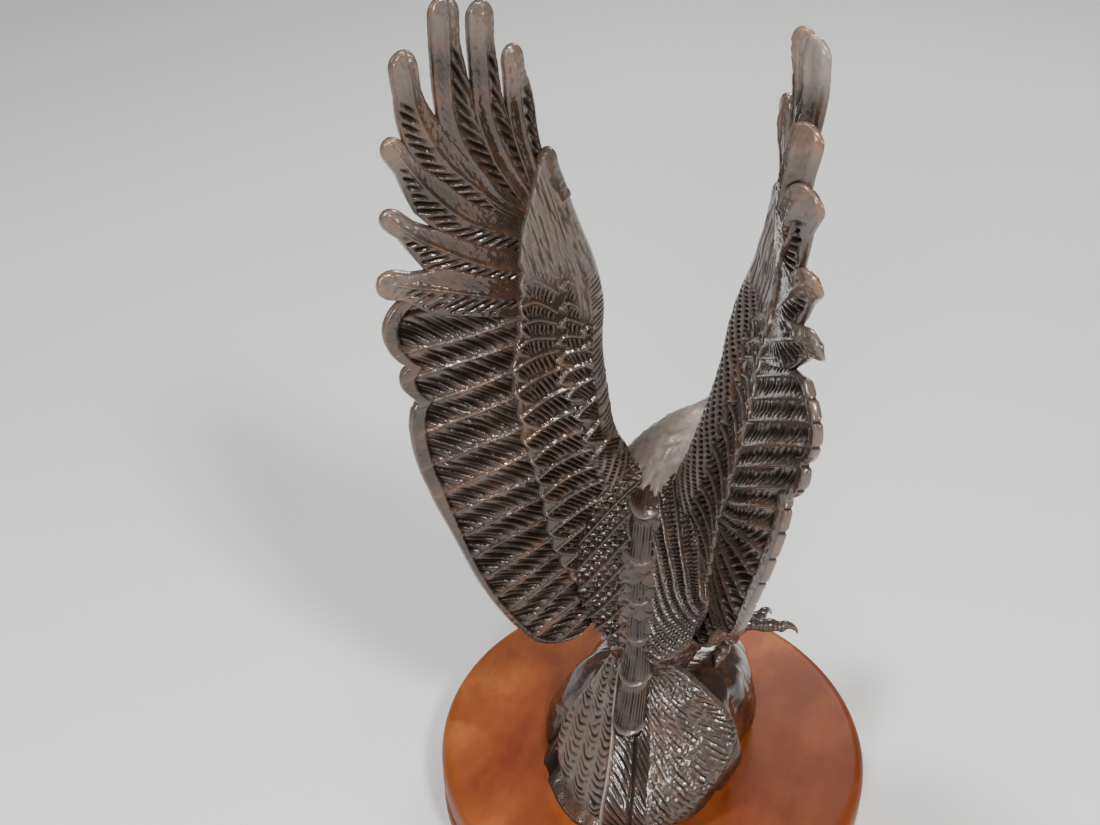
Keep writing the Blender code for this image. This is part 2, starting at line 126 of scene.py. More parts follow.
RIGHT_RIDGES = [
    [(32, 195), (50, 203), (68, 211.5), (92, 223)],
    [(34, 188), (52, 199), (65, 207), (86, 221), (96, 228)],
    [(36, 183.6), (50, 192.4), (62, 200), (86.5, 215.7), (98, 223)],
    [(38, 178.4), (52, 187.2), (66, 196.1), (90.7, 211.8), (98, 216.4)],
    [(40, 173), (55, 182.6), (69.1, 191.4), (88.7, 203.7), (97, 209)],
    [(42, 166.4), (57, 176.2), (71.8, 186.2), (87.1, 195.6), (95, 200.4)],
    [(43, 160.6), (58, 170.6), (74.1, 181.7), (86.3, 189.1), (94, 193.6)],
    [(44, 155.4), (59, 164.8), (75.4, 175.8), (84.8, 181.5), (92, 185.4)],
    [(45, 151), (60, 159.6), (73.8, 169.2), (83.8, 175.2), (92, 179)],
    [(46, 147.4), (60, 154.6), (72, 162.4), (83, 168.2), (91, 171.6)],
    [(46, 144.6), (58, 150.6), (70, 156.6), (82.6, 160.4), (91, 162.4)],
    [(44, 143.2), (55, 145.4), (66, 149.6), (78, 151.4), (89, 151.4)],
    [(38.9, 140.3), (50, 139.6), (62, 141.2), (74.3, 141.8), (86, 140.6)],
    [(33, 135.4), (46, 132.6), (61, 132.4), (72, 131.6), (83, 129)],
    [(28, 129.4), (42, 125.6), (58, 123.6), (69, 121.2), (79, 117)],
    [(24, 121), (40, 115.6), (54, 113.2), (66, 109.6), (75, 104)],
    [(20, 112), (36, 105.4), (50, 102.4), (61, 98.2), (70, 92)],
    [(16, 102), (32, 94.6), (46, 91.6), (56, 87), (64, 81)],
    [(12, 92), (27, 84), (40, 80.6), (50, 76), (58, 70)],
    [(9, 82), (22, 74), (34, 70), (43, 66), (50, 61)],
    [(8, 73), (18, 66.4), (28, 62), (36, 59), (42, 56)],
]
# The raised upper edges of the greater coverts, from tip to root
GREATER = [
    [(50.4, 214.5), (45, 214.4), (38, 207)], [(50.4, 208), (45, 208), (37.6, 201.6)],
    [(50.8, 201.4), (44.8, 200.8), (37.6, 194.9)], [(51, 194.6), (45.2, 194.9), (37.6, 191)],
    [(52.4, 187.4), (46.6, 188.9), (38.1, 186)], [(53.9, 180.5), (46.6, 182.2), (37.2, 181.6)],
    [(53.5, 172.6), (46.7, 174.9), (36.6, 175.6)], [(52.5, 164), (45.4, 166.7), (34, 169.2)],
    [(52, 155.4), (45, 158.4), (33.6, 162)], [(50.1, 148), (43.4, 151.4), (32.4, 155.2)],
    [(48.3, 140.6), (40.8, 144.2), (29.8, 148)], [(46.5, 133), (38.6, 137), (27.4, 141.2)],
    [(45, 125), (36.8, 129.4), (25, 134.4)], [(43.6, 116.8), (34.4, 121.6), (22.2, 128.4)],
    [(41.4, 108.6), (32, 114.6), (19.6, 123)], [(38.4, 100.6), (29, 107.2), (17, 118)],
    [(34.6, 93), (25.6, 100), (14.4, 112.6)], [(30.4, 85.4), (22.4, 93), (12.4, 106.4)],
    [(26, 77.6), (19, 85.6), (10.6, 99.4)], [(21.4, 71), (15.6, 79), (9, 92)],
]
SECOND = [
    [(38.6, 222), (36.4, 224), (30.6, 217)], [(38, 216.6), (35.8, 218), (30.4, 211)],
    [(37.7, 210.8), (35.4, 212.2), (30.2, 205.6)], [(37, 203.4), (34, 204.8), (29.6, 199.4)],
    [(36.5, 196), (33.6, 197.2), (29, 193)], [(37, 190), (34.2, 191.6), (28.8, 188.6)],
    [(37.5, 184), (34.7, 185.8), (28.4, 184.2)], [(37.8, 177.8), (34, 180.3), (27.6, 180)],
    [(38, 171.2), (34.4, 174.4), (27, 175.6)], [(36.3, 165.8), (33, 169), (26.2, 171.2)],
    [(34.4, 159), (31.1, 162.4), (25, 165.6)], [(32.6, 151.2), (28.8, 155.4), (23.4, 160.4)],
    [(30.4, 144), (26.4, 148.4), (21.2, 154)], [(28, 137), (23.6, 141.8), (18.6, 147.8)],
    [(25.6, 130), (21, 135.2), (16, 141.6)], [(22.8, 123.4), (18.2, 129), (13.6, 135.6)],
    [(19.8, 117), (15.4, 122.8), (11, 129)],
]
THIRD = [
    [(29.6, 186), (26.8, 187.4), (23.4, 184)], [(29.2, 180.4), (26.2, 182), (22.8, 179.4)],
    [(28.4, 174.6), (25.2, 176.6), (21.8, 174.8)], [(27.2, 168.8), (24, 171), (20.6, 170)],
    [(26, 162.8), (22.6, 165.4), (19.2, 165.4)], [(24.4, 156.6), (21, 159.6), (17.6, 160.4)],
    [(22.4, 150.2), (19, 153.6), (15.8, 155)], [(20.2, 143.8), (16.8, 147.4), (13.8, 149.4)],
    [(17.8, 137.6), (14.4, 141.4), (11.6, 143.6)], [(15, 131.4), (11.8, 135.4), (9.2, 138)],
]
# The forward outline of the coverts, from the foot of the back up to the wrist
LEADING = [
    (6, 64), (7, 74), (8, 86), (8.6, 98), (9.2, 110), (10.4, 122), (12.4, 132.6), (15.4, 142.1),
    (18.3, 147.9), (20.2, 154.2), (20.4, 161.3), (20.2, 170), (19.9, 177.6), (19.2, 185.2), (19.1, 192.1),
    (20.6, 200), (23.5, 209.4), (27, 217.6), (31, 227.4), (34.3, 236.8), (37.6, 244.4),
]


def smooth(t):
    t = np.clip(t, 0.0, 1.0)
    return t * t * (3 - 2 * t)


def noise(x, y, seed=0.0):
    """Smooth noise between -1 and 1 on a unit lattice."""
    i, j = np.floor(x), np.floor(y)
    u, v = smooth(x - i), smooth(y - j)

    def corner(m, n):
        value = np.sin(m * 127.1 + n * 311.7 + seed * 74.7) * 43758.5453
        return 2 * (value - np.floor(value)) - 1

    low = corner(i, j) * (1 - u) + corner(i + 1, j) * u
    high = corner(i, j + 1) * (1 - u) + corner(i + 1, j + 1) * u
    return low * (1 - v) + high * v


def bell(x, width):
    """1 at x = 0, falling off smoothly to nothing beyond about two widths."""
    return np.exp(-(x / width) ** 2)


def notch(x, width):
    """A bell whose width is its standard deviation."""
    return np.exp(-0.5 * (x / width) ** 2)


def scatter(i, seed):
    """A fixed pseudo-random number between 0 and 1 for each whole number."""
    value = np.sin(np.asarray(i, float) * 12.9898 + seed * 78.233) * 43758.5453
    return value - np.floor(value)


def catmull(points, count):
    """Evenly counted points on a Catmull-Rom curve through rows of numbers."""
    p = np.array(points, float)
    t = np.linspace(0, len(p) - 1, count)
    p = np.vstack([2 * p[0] - p[1], p, 2 * p[-1] - p[-2]])
    i = np.clip(np.floor(t).astype(int), 0, len(p) - 4)
    f = (t - i)[:, None]
    a, b, c, d = p[i], p[i + 1], p[i + 2], p[i + 3]
    square, cube = 2 * a - 5 * b + 4 * c - d, 3 * b - a - 3 * c + d
    return 0.5 * (2 * b + (c - a) * f + square * f ** 2 + cube * f ** 3)


class Line:
    """A smooth line on a chart, read by its length in millimetres."""

    def __init__(self, points):
        self.points = catmull(points, 300)
        steps = np.linalg.norm(np.diff(self.points[:, :2], axis=0), axis=1)
        self.reach = np.concatenate([[0], np.cumsum(steps)])
        self.length = self.reach[-1]
        self.tangents = np.gradient(self.points[:, :2], axis=0)
        self.tangents /= np.linalg.norm(self.tangents, axis=1)[:, None]

    def at(self, s):
        columns = range(self.points.shape[1])
        return np.stack([np.interp(s, self.reach, self.points[:, k]) for k in columns], -1)

    def normal(self, s):
        """The unit vector to the left of the line's run."""
        step = self.at(np.minimum(s + 0.8, self.length))[..., :2] - self.at(np.maximum(s - 0.8, 0))[..., :2]
        step /= np.linalg.norm(step, axis=-1)[..., None]
        return np.stack([-step[..., 1], step[..., 0]], -1)


class Piece:
    """Collects closed solids, with the cut, the rub and the paleness of each point."""

    def __init__(self, name):
        self.name = name
        self.points, self.faces, self.caps, self.cuts, self.rubs, self.pales = [], [], [], [], [], []
        self.count = 0

    def tube(self, loops, cut=0.0, rub=0.0, pale=0.0):
        """Joins closed loops, an array of (rows, points, 3), and closes both ends."""
        rows, around = loops.shape[:2]
        index = np.arange(rows * around).reshape(rows, around) + self.count
        turned = np.roll(index, -1, axis=1)
        self.faces.append(np.stack([index[:-1], turned[:-1], turned[1:], index[1:]], -1).reshape(-1, 4))
        self.caps += [index[0].tolist(), index[-1].tolist()]
        self.points.append(loops.reshape(-1, 3))
        self.cuts.append(np.broadcast_to(cut, (rows, around)).reshape(-1))
        self.rubs.append(np.broadcast_to(rub, (rows, around)).reshape(-1))
        self.pales.append(np.broadcast_to(pale, (rows, around)).reshape(-1))
        self.count += rows * around

    def build(self, material, node):
        mesh = bpy.data.meshes.new(self.name)
        faces = np.concatenate(self.faces).tolist() + self.caps
        mesh.from_pydata((np.concatenate(self.points) * MM).tolist(), [], faces)
        for name, values in (("cut", self.cuts), ("rub", self.rubs), ("pale", self.pales)):
            layer = mesh.attributes.new(name, "FLOAT", "POINT")
            layer.data.foreach_set("value", np.concatenate(values).astype(np.float32))
        bm = bmesh.new()
        bm.from_mesh(mesh)
        bmesh.ops.recalc_face_normals(bm, faces=bm.faces)
        bm.to_mesh(mesh)
        bm.free()
        mesh.shade_smooth()
        mesh.materials.append(material)
        obj = bpy.data.objects.new(self.name, mesh)
        bpy.context.scene.collection.objects.link(obj)
        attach(obj, "root")
        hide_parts(node)
        print(self.name, "triangles", sum(len(f) - 2 for f in faces))
        return obj


def wing_place(side):
    """Bends the wing's chart into place: side is 1 for the left wing and -1 for the right one."""
    def place(a, z, h):
        root = smooth((185 - z) / 45)
        depth = -10.5 + root * (4 + 4.5 * smooth((45 - a) / 30)) + 5 * smooth((z - 235) / 70)
        depth = depth - LEADING_SET * smooth((60 - a) / 30) * smooth((z - 150) / 40)
        depth = depth + WING_CAMBER * np.sin(pi * np.clip((a - 18) / 68, 0, 1)) + h
        rise = 0.0
        if side < 0:
            curl = smooth((a - 35) / 45) * smooth((285 - z) / 40) * (0.5 + 0.5 * smooth((z - 185) / 45))
            depth = depth + RIGHT_CURL * curl - RIGHT_SET * smooth((90 - a) / 40) * smooth((z - 170) / 60)
            rise = RIGHT_RISE * smooth((z - 150) / 60) + RIGHT_LIFT * a * smooth((130 - z) / 60)
        x = a * cos(CHORD_YAW) - depth * sin(CHORD_YAW)
        y = a * sin(CHORD_YAW) + depth * cos(CHORD_YAW)
        return np.stack([side * x, y, PLINTH_HEIGHT + z + rise], -1)
    return place


def row_places(length, step, tip):
    """Distances along a feather, closer together where its tip is rounded."""
    body = np.linspace(0, length - tip, max(int((length - tip) / step), 2))
    round_end = length - tip + tip * np.sin(np.linspace(0, radians(86), max(int(1.4 * tip / step), 5)))[1:]
    return np.concatenate([body, round_end])


def feather(piece, place, line, widths, relief, under, tip, floor=0.0, joined=0.0, bend=None, pale=0.2):
    """One feather as a closed solid with a round rim and a plain underside with its own quill.

    widths gives the reach to the left and to the right of the line at each distance along it. relief gives
    the height, the cut and the rub over the grid. The rim is square as far as joined, where the neighbours
    meet it, and bend gives how far each point of it is lifted.
    """
    s = row_places(line.length, FINE, tip)
    left, right = widths(s)
    close = np.sqrt(np.clip(1 - np.clip((s - line.length + tip) / tip, 0, 1) ** 2, 0.0, 1))
    count_left = max(int(left.max() / FINE), 2)
    count_right = max(int(right.max() / FINE), 2)
    across = np.concatenate([np.linspace(-1, 0, count_left + 1), np.linspace(0, 1, count_right + 1)[1:]])
    d = np.where(across < 0, across * left[:, None], across * right[:, None])
    h, cut, rub = relief(s[:, None] + 0 * d, d, left[:, None], right[:, None])
    edge = np.minimum(left[:, None] + d, right[:, None] - d)
    rim = np.clip(1 - edge / 0.8, 0, 1) * smooth((s[:, None] - joined) / 3)
    h = h - 0.55 * (1 - np.sqrt(1 - rim ** 2 * 0.98))
    middle = (h.mean(1)[:, None] - under) / 2
    h = middle + (h - middle) * (0.25 + 0.75 * close[:, None])
    centre, normal = line.at(s)[:, None, :2], line.normal(s)[:, None, :]

    def grid(distance, height):
        spot = centre - distance[..., None] * normal
        lift = bend(s[:, None], distance) if bend else 0.0
        return place(spot[..., 0], spot[..., 1], height + floor + lift)

    bulge = 0.35 * close[:, None] + 0.02
    side_height = (h[:, :1] - under) / 2
    low = np.array([[1.0, 0.5, 0.0, -0.5, -1.0]])
    low_d = np.where(low < 0, low * left[:, None], low * right[:, None])
    low_h = -under + np.array([[0.55, 0.1, -0.5, 0.1, 0.55]])
    low_h = middle + (low_h - middle) * (0.25 + 0.75 * close[:, None])
    loops = np.concatenate([
        grid(-left[:, None] - bulge, side_height), grid(d, h),
        grid(right[:, None] + bulge, (h[:, -1:] - under) / 2), grid(low_d, low_h)], axis=1)
    edge_rub = 0.35 * rim ** 2
    rows = len(s)
    cuts = np.concatenate([np.zeros((rows, 1)), cut, np.zeros((rows, 6))], axis=1)
    rubs = np.concatenate([np.full((rows, 1), 0.4), np.clip(rub + edge_rub, 0, 1), np.full((rows, 1), 0.4),
                           np.full((rows, 5), 0.2)], axis=1)
    piece.tube(loops, cuts, rubs, pale * smooth((s[:, None] - line.length + 18) / 12))


def barbs(s, reach, full, pitch, slope, depth, seed, start=0.5, stop=0.6, width=0.10):
    """Slanting cuts across a vane: how deep each point of it lies."""
    phase = (s - slope * reach) / pitch
    number = np.round(phase)
    off = phase - number + 0.16 * (scatter(number, seed + 3) - 0.5)
    first = start + 0.9 * scatter(number, seed)
    last = full - stop - 0.22 * full * scatter(number, seed + 1) ** 2
    share = np.clip((reach - first) / np.maximum(last - first, 0.3), 0, 1)
    lens = np.sqrt(np.sin(pi * share))
    width = width + 0.07 * lens
    return depth * (0.75 + 0.35 * scatter(number, seed + 2)) * lens * notch(off, width)


def cast_wobble(s, d, seed, amount=0.09):
    return amount * (noise(s / 1.3, d / 1.1 + seed, seed) + 0.6 * noise(s / 0.6, d / 0.6, seed + 5))


# How much each primary of the right wing turns its face rearwards and is lifted at its tip, how far its tip
# is lowered along the wing, and how much wider it is
RIGHT_TURN = [(-0.3, 3.2), (-0.55, 1.6), (-0.6, 1.2), (-0.6, 4.8), (-0.65, 2.4), (-0.5, -1.6), (-0.3, -3.6)]
RIGHT_DROP = (6.5, 0.0, 1.0, 4.0, -1.0, -1.0, -3.5)
RIGHT_WIDER = (1.0, 1.0, 1.0, 1.1, 1.4, 1.2, 0.9)


def primary(piece, side, i, line, upper, lower, cut_side):
    """One long feather: a quill, deep barbs in one vane, fine ones in the other, and a plain round tip."""
    length, tip = line.length, 5.0
    marks = np.array([0, 0.42, 0.7, 0.86]) * length
    joined = (0.62 if i < 4 else 0.74) * length
    turned, lifted = RIGHT_TURN[i] if side < 0 else (0.0, 0.0)

    def widths(s):
        rounding = np.clip((s - length + tip) / tip, 0, 1)
        close = np.sqrt(np.clip(1 - rounding ** 2.2, 0.0, 1)) + 0.02
        return np.interp(s, marks, upper) * close, np.interp(s, marks, lower) * close

    def relief(s, d, left, right):
        half = np.maximum(left, right)
        free = smooth((s - joined) / 8)
        fade = smooth((length - (11 if i < 4 else 7) - s) / 5)
        quill = 0.75 * bell(d, 0.5) * smooth((length - 3 - s) / 4)
        h = 0.55 + quill + 0.75 * free * (1 - np.abs(d) / half)
        h = h + 0.15 * (1 - free) * (d * -cut_side) / half
        reach = np.where(d * cut_side > 0, np.abs(d), 0)
        other = np.where(d * cut_side < 0, np.abs(d), 0)
        full, other_full = (right, left) if cut_side > 0 else (left, right)
        pitch, slope = (3.4, 1.25) if cut_side > 0 else (4.6, -1.9)
        deep = barbs(s, reach, full, pitch, slope, 0.95, 10 + i, 0.4, 0.5, 0.12) * fade
        fine = barbs(s, other, other_full, 2.6, 2.6, 0.2, 40 + i) * fade
        streak = 0.10 * noise(s / 6, d / 0.5, 60 + i)
        h = h - deep - fine + streak + cast_wobble(s, d, i, 0.07)
        h = h + 0.16 * free * noise(s / 1.2, d / 1.0, 25 + i)
        cut = np.clip(deep / 0.7 + fine / 0.5, 0, 1)
        rub = 0.25 * bell(d, 0.6) + 0.35 * free * smooth((s - length + 9) / 5)
        return h, cut, rub

    def bend(s, d):
        far = smooth((s - 0.5 * length) / (0.45 * length))
        return (turned * d + lifted) * far + (2.2 * (1 - far) if lifted > 2.5 else 0.0)

    # Tips are paler, worn patina; the right wing's second and third primaries get far paler tips, a painted
    # sheen
    feather(piece, wing_place(side), line, widths, relief, 2.0 + 0.02 * i, tip, 0.012 * (7 - i) - 0.25,
            joined, bend, 0.75 if side < 0 and i in (1, 2) else 0.3)


def primaries(piece, side):
    """The long front feathers, joined up to their notches and free beyond them."""
    for i, (points, upper, lower, cut_side) in enumerate(PRIMARIES):
        if side < 0 and i >= 4:
            points = [(a, z + 4.5 * smooth((a - 50) / 35)) for a, z in points]
        if side < 0:
            root, rise = points[0][1], points[-1][1] - points[0][1]
            points = [(a, z - RIGHT_DROP[i] * smooth((z - root) / rise)) for a, z in points]
            wider = RIGHT_WIDER[i]
            upper, lower = [(*w[:2], w[2] * wider ** 0.5, w[3] * wider) for w in (upper, lower)]
        primary(piece, side, i, Line(points), upper, lower, cut_side)


class Relief:
    """Height, cut and rub over the points of a chart, laid down feather by feather."""

    def __init__(self, a, z):
        self.shape = a.shape
        self.spots = np.stack([a.ravel(), z.ravel()], 1)
        self.h, self.cut, self.rub = np.zeros(a.size), np.zeros(a.size), np.zeros(a.size)

    def near(self, line, reach):
        """The points beside a line, how far along it they are, and how far to its left."""
        p, r, t = line.points[::3, :2], line.reach[::3], line.tangents[::3]
        inside = (self.spots > p.min(0) - reach) & (self.spots < p.max(0) + reach)
        i = np.nonzero(inside.all(1))[0]
        q = self.spots[i]
        k = np.zeros(len(i), int)
        for first in range(0, len(i), 20000):
            gap = q[first:first + 20000, None] - p[None]
            k[first:first + 20000] = (gap ** 2).sum(2).argmin(1)
        step = q - p[k]
        s = r[k] + (step * t[k]).sum(1)
        d = step[:, 1] * t[k, 0] - step[:, 0] * t[k, 1]
        close = np.abs(d) < reach
        return i[close], s[close], d[close]

    def lay(self, i, share, h, cut, rub):
        self.h[i] += share * (h - self.h[i])
        self.cut[i] += share * (cut - self.cut[i])
        self.rub[i] += share * (rub - self.rub[i])

    def grids(self):
        return self.h.reshape(self.shape), self.cut.reshape(self.shape), self.rub.reshape(self.shape)


def spacing(line, other, limit):
    """A function that gives the distance from a line to its neighbour at each length along it."""
    probe = np.linspace(0, line.length, 60)
    away = line.at(probe)[:, None, :2] - other.points[None, ::3, :2]
    gap = np.minimum(np.sqrt((away ** 2).sum(2)).min(1), limit)
    return lambda s: np.interp(s, probe, gap)


def sheet(piece, place, a, z, top, low, cut, rub, rim, edge_cut, pale=0.0, lower=9):
    """A closed skin over a grid of the chart, its rearward edge round and its ends drawn together."""
    rows, columns = a.shape
    reach = np.minimum(np.arange(rows), np.arange(rows)[::-1])[:, None] * STEP
    close = 0.03 + 0.97 * np.sqrt(1 - (1 - np.clip(reach / 1.6, 0, 1)) ** 2)
    middle = (top + low) / 2
    top, low = middle + (top - middle) * close, middle + (low - middle) * close
    out = np.stack([a[:, -1] - a[:, -3], z[:, -1] - z[:, -3]], -1)
    out /= np.linalg.norm(out, axis=1)[:, None]
    turn = np.linspace(0, pi, 7)[1:-1]
    bulge = rim * close * np.sin(turn)[None, :] * (1 - 0.45 * edge_cut[:, None])
    side_h = (top[:, -1:] + low[:, -1:]) / 2 + (top[:, -1:] - low[:, -1:]) / 2 * np.cos(turn)[None, :]
    edge = place(a[:, -1:] + out[:, :1] * bulge, z[:, -1:] + out[:, 1:] * bulge, side_h)
    pick = np.linspace(columns - 1, 0, lower).astype(int)
    under = place(a[:, pick], z[:, pick], low[:, pick])
    loops = np.concatenate([place(a, z, top), edge, under], axis=1)
    none = np.zeros((rows, len(pick)))
    cuts = np.concatenate([cut, np.repeat(edge_cut[:, None], 5, 1), none], axis=1)
    rubs = np.concatenate([rub, np.full((rows, 5), 0.22), none + 0.1], axis=1)
    pales = np.concatenate([pale + 0 * a, np.full((rows, 5), 0.25), none], axis=1)
    piece.tube(loops, cuts, rubs, pales)


def flight_sheet(piece, side):
    """The joined secondaries, with their round rearward border."""
    ridges = [Line(points) for points in (LEFT_RIDGES if side > 0 else RIGHT_RIDGES)]
    trailing, inner = Line(TRAILING), Line(INNER)
    rows, columns = int(trailing.length / STEP), SECONDARY_COLUMNS
    v = np.linspace(0, 1, rows)
    outside, inside = trailing.at(v * trailing.length), inner.at(v * inner.length)
    if side < 0:
        outside = outside + (4.0, 1.5) * (smooth((outside[:, 1:] - 172) / 30))
    u = np.linspace(0, 1, columns)[None, :]
    a = inside[:, :1] * (1 - u) + outside[:, :1] * u
    z = inside[:, 1:] * (1 - u) + outside[:, 1:] * u
    e = (1 - u) * np.linalg.norm(outside - inside, axis=1)[:, None]
    relief = Relief(a, z)
    relief.h += 0.3
    below = np.zeros(a.size)
    for n in reversed(range(1, len(ridges))):
        line = ridges[n]
        i, s, d = relief.near(line, 13)
        gap = spacing(line, ridges[n - 1], 12)(s)
        reach = np.clip(d, 0, None)
        slope = np.clip(reach / gap, 0, 1)
        ridge = bell(d, 0.40)
        deep = barbs(s, reach, gap, 3.3, 1.15, 0.85, 70 + n, 0.5, 0.6)
        second = barbs(s + 1.6, reach, gap, 3.3, 1.15, 0.5, 90 + n, 1.2, 1.0, 0.08)
        h = 0.85 - 0.70 * slope + 0.50 * ridge - deep - second
        share = smooth((d + 0.5) / 0.22) * (s > -2)
        # Dark along the foot of the next feather's raised edge: patina in the crevice and a painted shade
        # under that edge
        cut = np.clip(deep / 0.6 + second / 0.5 + 0.9 * smooth((slope - 0.86) / 0.12), 0, 1)
        relief.lay(i, share, h, cut, 0.35 * ridge)
        below[i] = np.maximum(below[i], bell(d, 0.6) * (s > -2))
    h, cut, rub = relief.grids()
    # Paler along the ridges, worn patina with a painted glint on them, and a little paler towards the top
    pale = (0.01 + 0.4 * rub + 0.07 * smooth((z - 150) / 45)) * (1 - np.clip(cut, 0, 1))
    border = 1.3 + 2.3 * smooth((z - 112) / 45)
    inside_border = smooth((e - border) / 0.9)
    roll = 0.55 * np.sqrt(np.clip(1 - ((e - 0.55 * border) / (0.75 * border)) ** 2, 0, 1)) + 0.2
    h = roll + (h - roll) * inside_border - 0.25 * bell(e - border - 0.4, 0.4)
    h = h + cast_wobble(a, z, 20, 0.09)
    seam = bell(e - border - 0.5, 0.5)
    rub = rub * inside_border + 0.6 * seam * (0.4 + 0.6 * noise(z / 14, a / 14, 3))
    cut = cut * inside_border + 0.5 * seam
    edge_cut = np.zeros(rows)
    if side < 0:
        for line in ridges[1:12]:
            crossing = np.abs(np.linalg.norm(outside[:, None] - line.points[None, ::3, :2], axis=2).min(1))
            edge_cut = np.maximum(edge_cut, bell(crossing, 0.45))
    set_back = 2.6 * smooth((a - 58) / 30) * smooth((z - 160) / 30) if side < 0 else 0.0
    low = -2.3 - 0.2 * u + 0.6 * below.reshape(a.shape)
    sheet(piece, wing_place(side), a, z, h - 0.4 - set_back, low - set_back, cut, rub, 0.7, edge_cut,
          pale, 16)


# Table, height over the row below, pitch and depth of the barbs, seed
COVERT_ROWS = ((GREATER, 0.0, 1.95, 0.9, 100), (SECOND, 0.3, 1.6, 0.8, 140), (THIRD, 0.45, 1.5, 0.7, 180))


def covert_sheet(piece, side):
    """The coverts, the thick leading edge and the wrist, as one skin over the feathers' roots."""
    rows_of_ends = [points[0] for points in GREATER]
    ends = [(12, 60), (16.6, 64.6)]
    for upper, below in zip(rows_of_ends[::-1][1:], rows_of_ends[::-1][:-1]):
        ends += [below, ((upper[0] + below[0]) / 2 - 1.0, (upper[1] + below[1]) / 2)]
    ends += [rows_of_ends[0], (49.9, 218.6), (49.3, 225.4), (47.6, 231), (45.8, 237), (44.6, 241),
             (43.4, 245)]
    lead, back = Line(LEADING), Line(ends)
    rows = int(lead.length / STEP)
    v = np.linspace(0, 1, rows)
    first, last = lead.at(v * lead.length), back.at(v * back.length)
    width = np.linalg.norm(last - first, axis=1)[:, None]
    crest = np.minimum(7.0, 0.42 * width)
    round_part = crest * (1 - np.cos(np.linspace(0, pi / 2, COVERT_COLUMNS[0])))[None, :]
    flat_part = crest + (width - crest) * np.linspace(0, 1, COVERT_COLUMNS[1])[None, 1:]
    t = np.concatenate([round_part, flat_part], axis=1)
    u = t / width
    a = first[:, :1] * (1 - u) + last[:, :1] * u
    z = first[:, 1:] * (1 - u) + last[:, 1:] * u
    height = np.interp(z, (60, 100, 140, 200, 225, 245), (1.8, 2.8, 4.4, 4.4, 3.6, 2.0))
    if side < 0:
        height = height + np.interp(z, (150, 190, 225, 245), (0, 1.4, 2.6, 2.0))
    quarter = np.sqrt(1 - (1 - np.clip(t / crest, 0, 1)) ** 2)
    beyond = bell(np.clip(t - crest, 0, None), 9)
    dome = np.where(t < crest, 0.4 + (height - 0.4) * quarter, 1.15 + (height - 1.15) * beyond)
    low = np.where(t < crest, 0.4 - 3.4 * quarter, -3.0 + 0.6 * (1 - beyond))
    relief = Relief(a, z)
    relief.h += 0.1
    for table, level, pitch, depth, seed in COVERT_ROWS:
        lines = [Line(points[::-1]) for points in table]
        for n, line in enumerate(lines):
            i, s, d = relief.near(line, 9)
            gap = spacing(line, lines[n + 1], 9)(s) if n + 1 < len(lines) else 5.0
            below = np.clip(-d, 0, None)
            past = s - line.length + 0.5 * gap * np.clip(below / gap, 0, 1) ** 2
            ridge = bell(d, 0.40) * (past < 0.6)
            rim = bell(past + 0.3, 0.45) * (d < 0.3)
            border = np.maximum(ridge, 0.85 * rim)
            nick = barbs(s, below, gap, pitch, -0.6, depth, seed + n, 0.5, 0.45, 0.11)
            nick = nick * smooth((-past - 0.6) / 0.5)
            h = level + 0.28 - 0.45 * np.clip(below / gap, 0, 1) + 0.62 * border - nick
            share = smooth((0.5 - d) / 0.22) * smooth((0.45 - past) / 0.3)
            share = share * smooth((gap + 0.9 - below) / 0.5) * smooth((s + 0.6) / 1.0)
            # Dark near the foot of the next covert's raised edge: patina in the trough and a painted shade
            # under that edge
            dark = np.clip(nick / (0.6 * depth) + 0.6 * smooth((below / gap - 0.8) / 0.15), 0, 1)
            relief.lay(i, share, h, dark * (1 - border), border)
    h, cut, rub = relief.grids()
    wrist = smooth((z - 200) / 14) * smooth((t - 0.4) / 1.2)
    wrist = np.maximum(wrist, smooth((z - 186) / 10) * smooth((13 - t) / 4) * smooth((t - 6) / 2))
    along = v[:, None] * lead.length
    streak = noise(along / 6.0, t / 0.5 + 0.08 * along, side + 2.0) + 0.6 * noise(along / 3.0, t / 0.35, 12)
    strands = 0.32 * smooth((streak + 0.1) / 0.9)
    h = h * (1 - wrist) + wrist * (0.35 - strands)
    cut = cut * (1 - wrist) + wrist * strands * 1.6
    pale = 0.35 * rub * (1 - wrist) + wrist * (0.5 - 0.5 * strands)
    rub = 0.25 * rub * (1 - wrist)
    band = smooth((t - 0.7) / 0.6) * smooth((6.8 - t) / 0.7)
    band = band * smooth((z - 148) / 8) * smooth((206 - z) / 6)
    phase = along / 1.7 + 0.12 * t + 0.4 * noise(along / 6, t / 5, 14)
    number = np.round(phase)
    nick = 0.5 * notch(phase - number, 0.14) * (scatter(number, 5) > 0.15)
    nick = nick * smooth((noise(number * 3.7, t / 3.0, 8) + 0.75) / 0.4)
    h = h * (1 - band) + band * (0.25 - nick)
    cut = cut * (1 - band) + band * nick * 1.8
    pale = pale * (1 - band) + 0.4 * band * (1 - nick)
    highest, widest = (150, 14) if side > 0 else (216, 17)
    shoulder = smooth((highest - z) / 12) * smooth((widest - t) / 4)
    shoulder = shoulder * smooth((t - 0.5) / 1.0) * smooth((z - 84) / 12)
    mesh_h, mesh_cut = lattice(along, t, 2.5 if side > 0 else 3.4)
    h = h * (1 - shoulder) + shoulder * mesh_h
    cut = cut * (1 - shoulder) + shoulder * mesh_cut
    e = (1 - u) * width
    rim = np.clip(1 - e / 0.7, 0, 1)
    h = h + cast_wobble(a, z, 33, 0.07) - 0.4 * (1 - np.sqrt(1 - rim ** 2 * 0.98))
    keep = smooth(t / 1.5)
    pale = pale * (1 - shoulder) + 0.35 * shoulder * (1 - mesh_cut)
    sheet(piece, wing_place(side), a, z, dome + h * keep, low, cut, rub, 0.35, np.zeros(rows), pale)


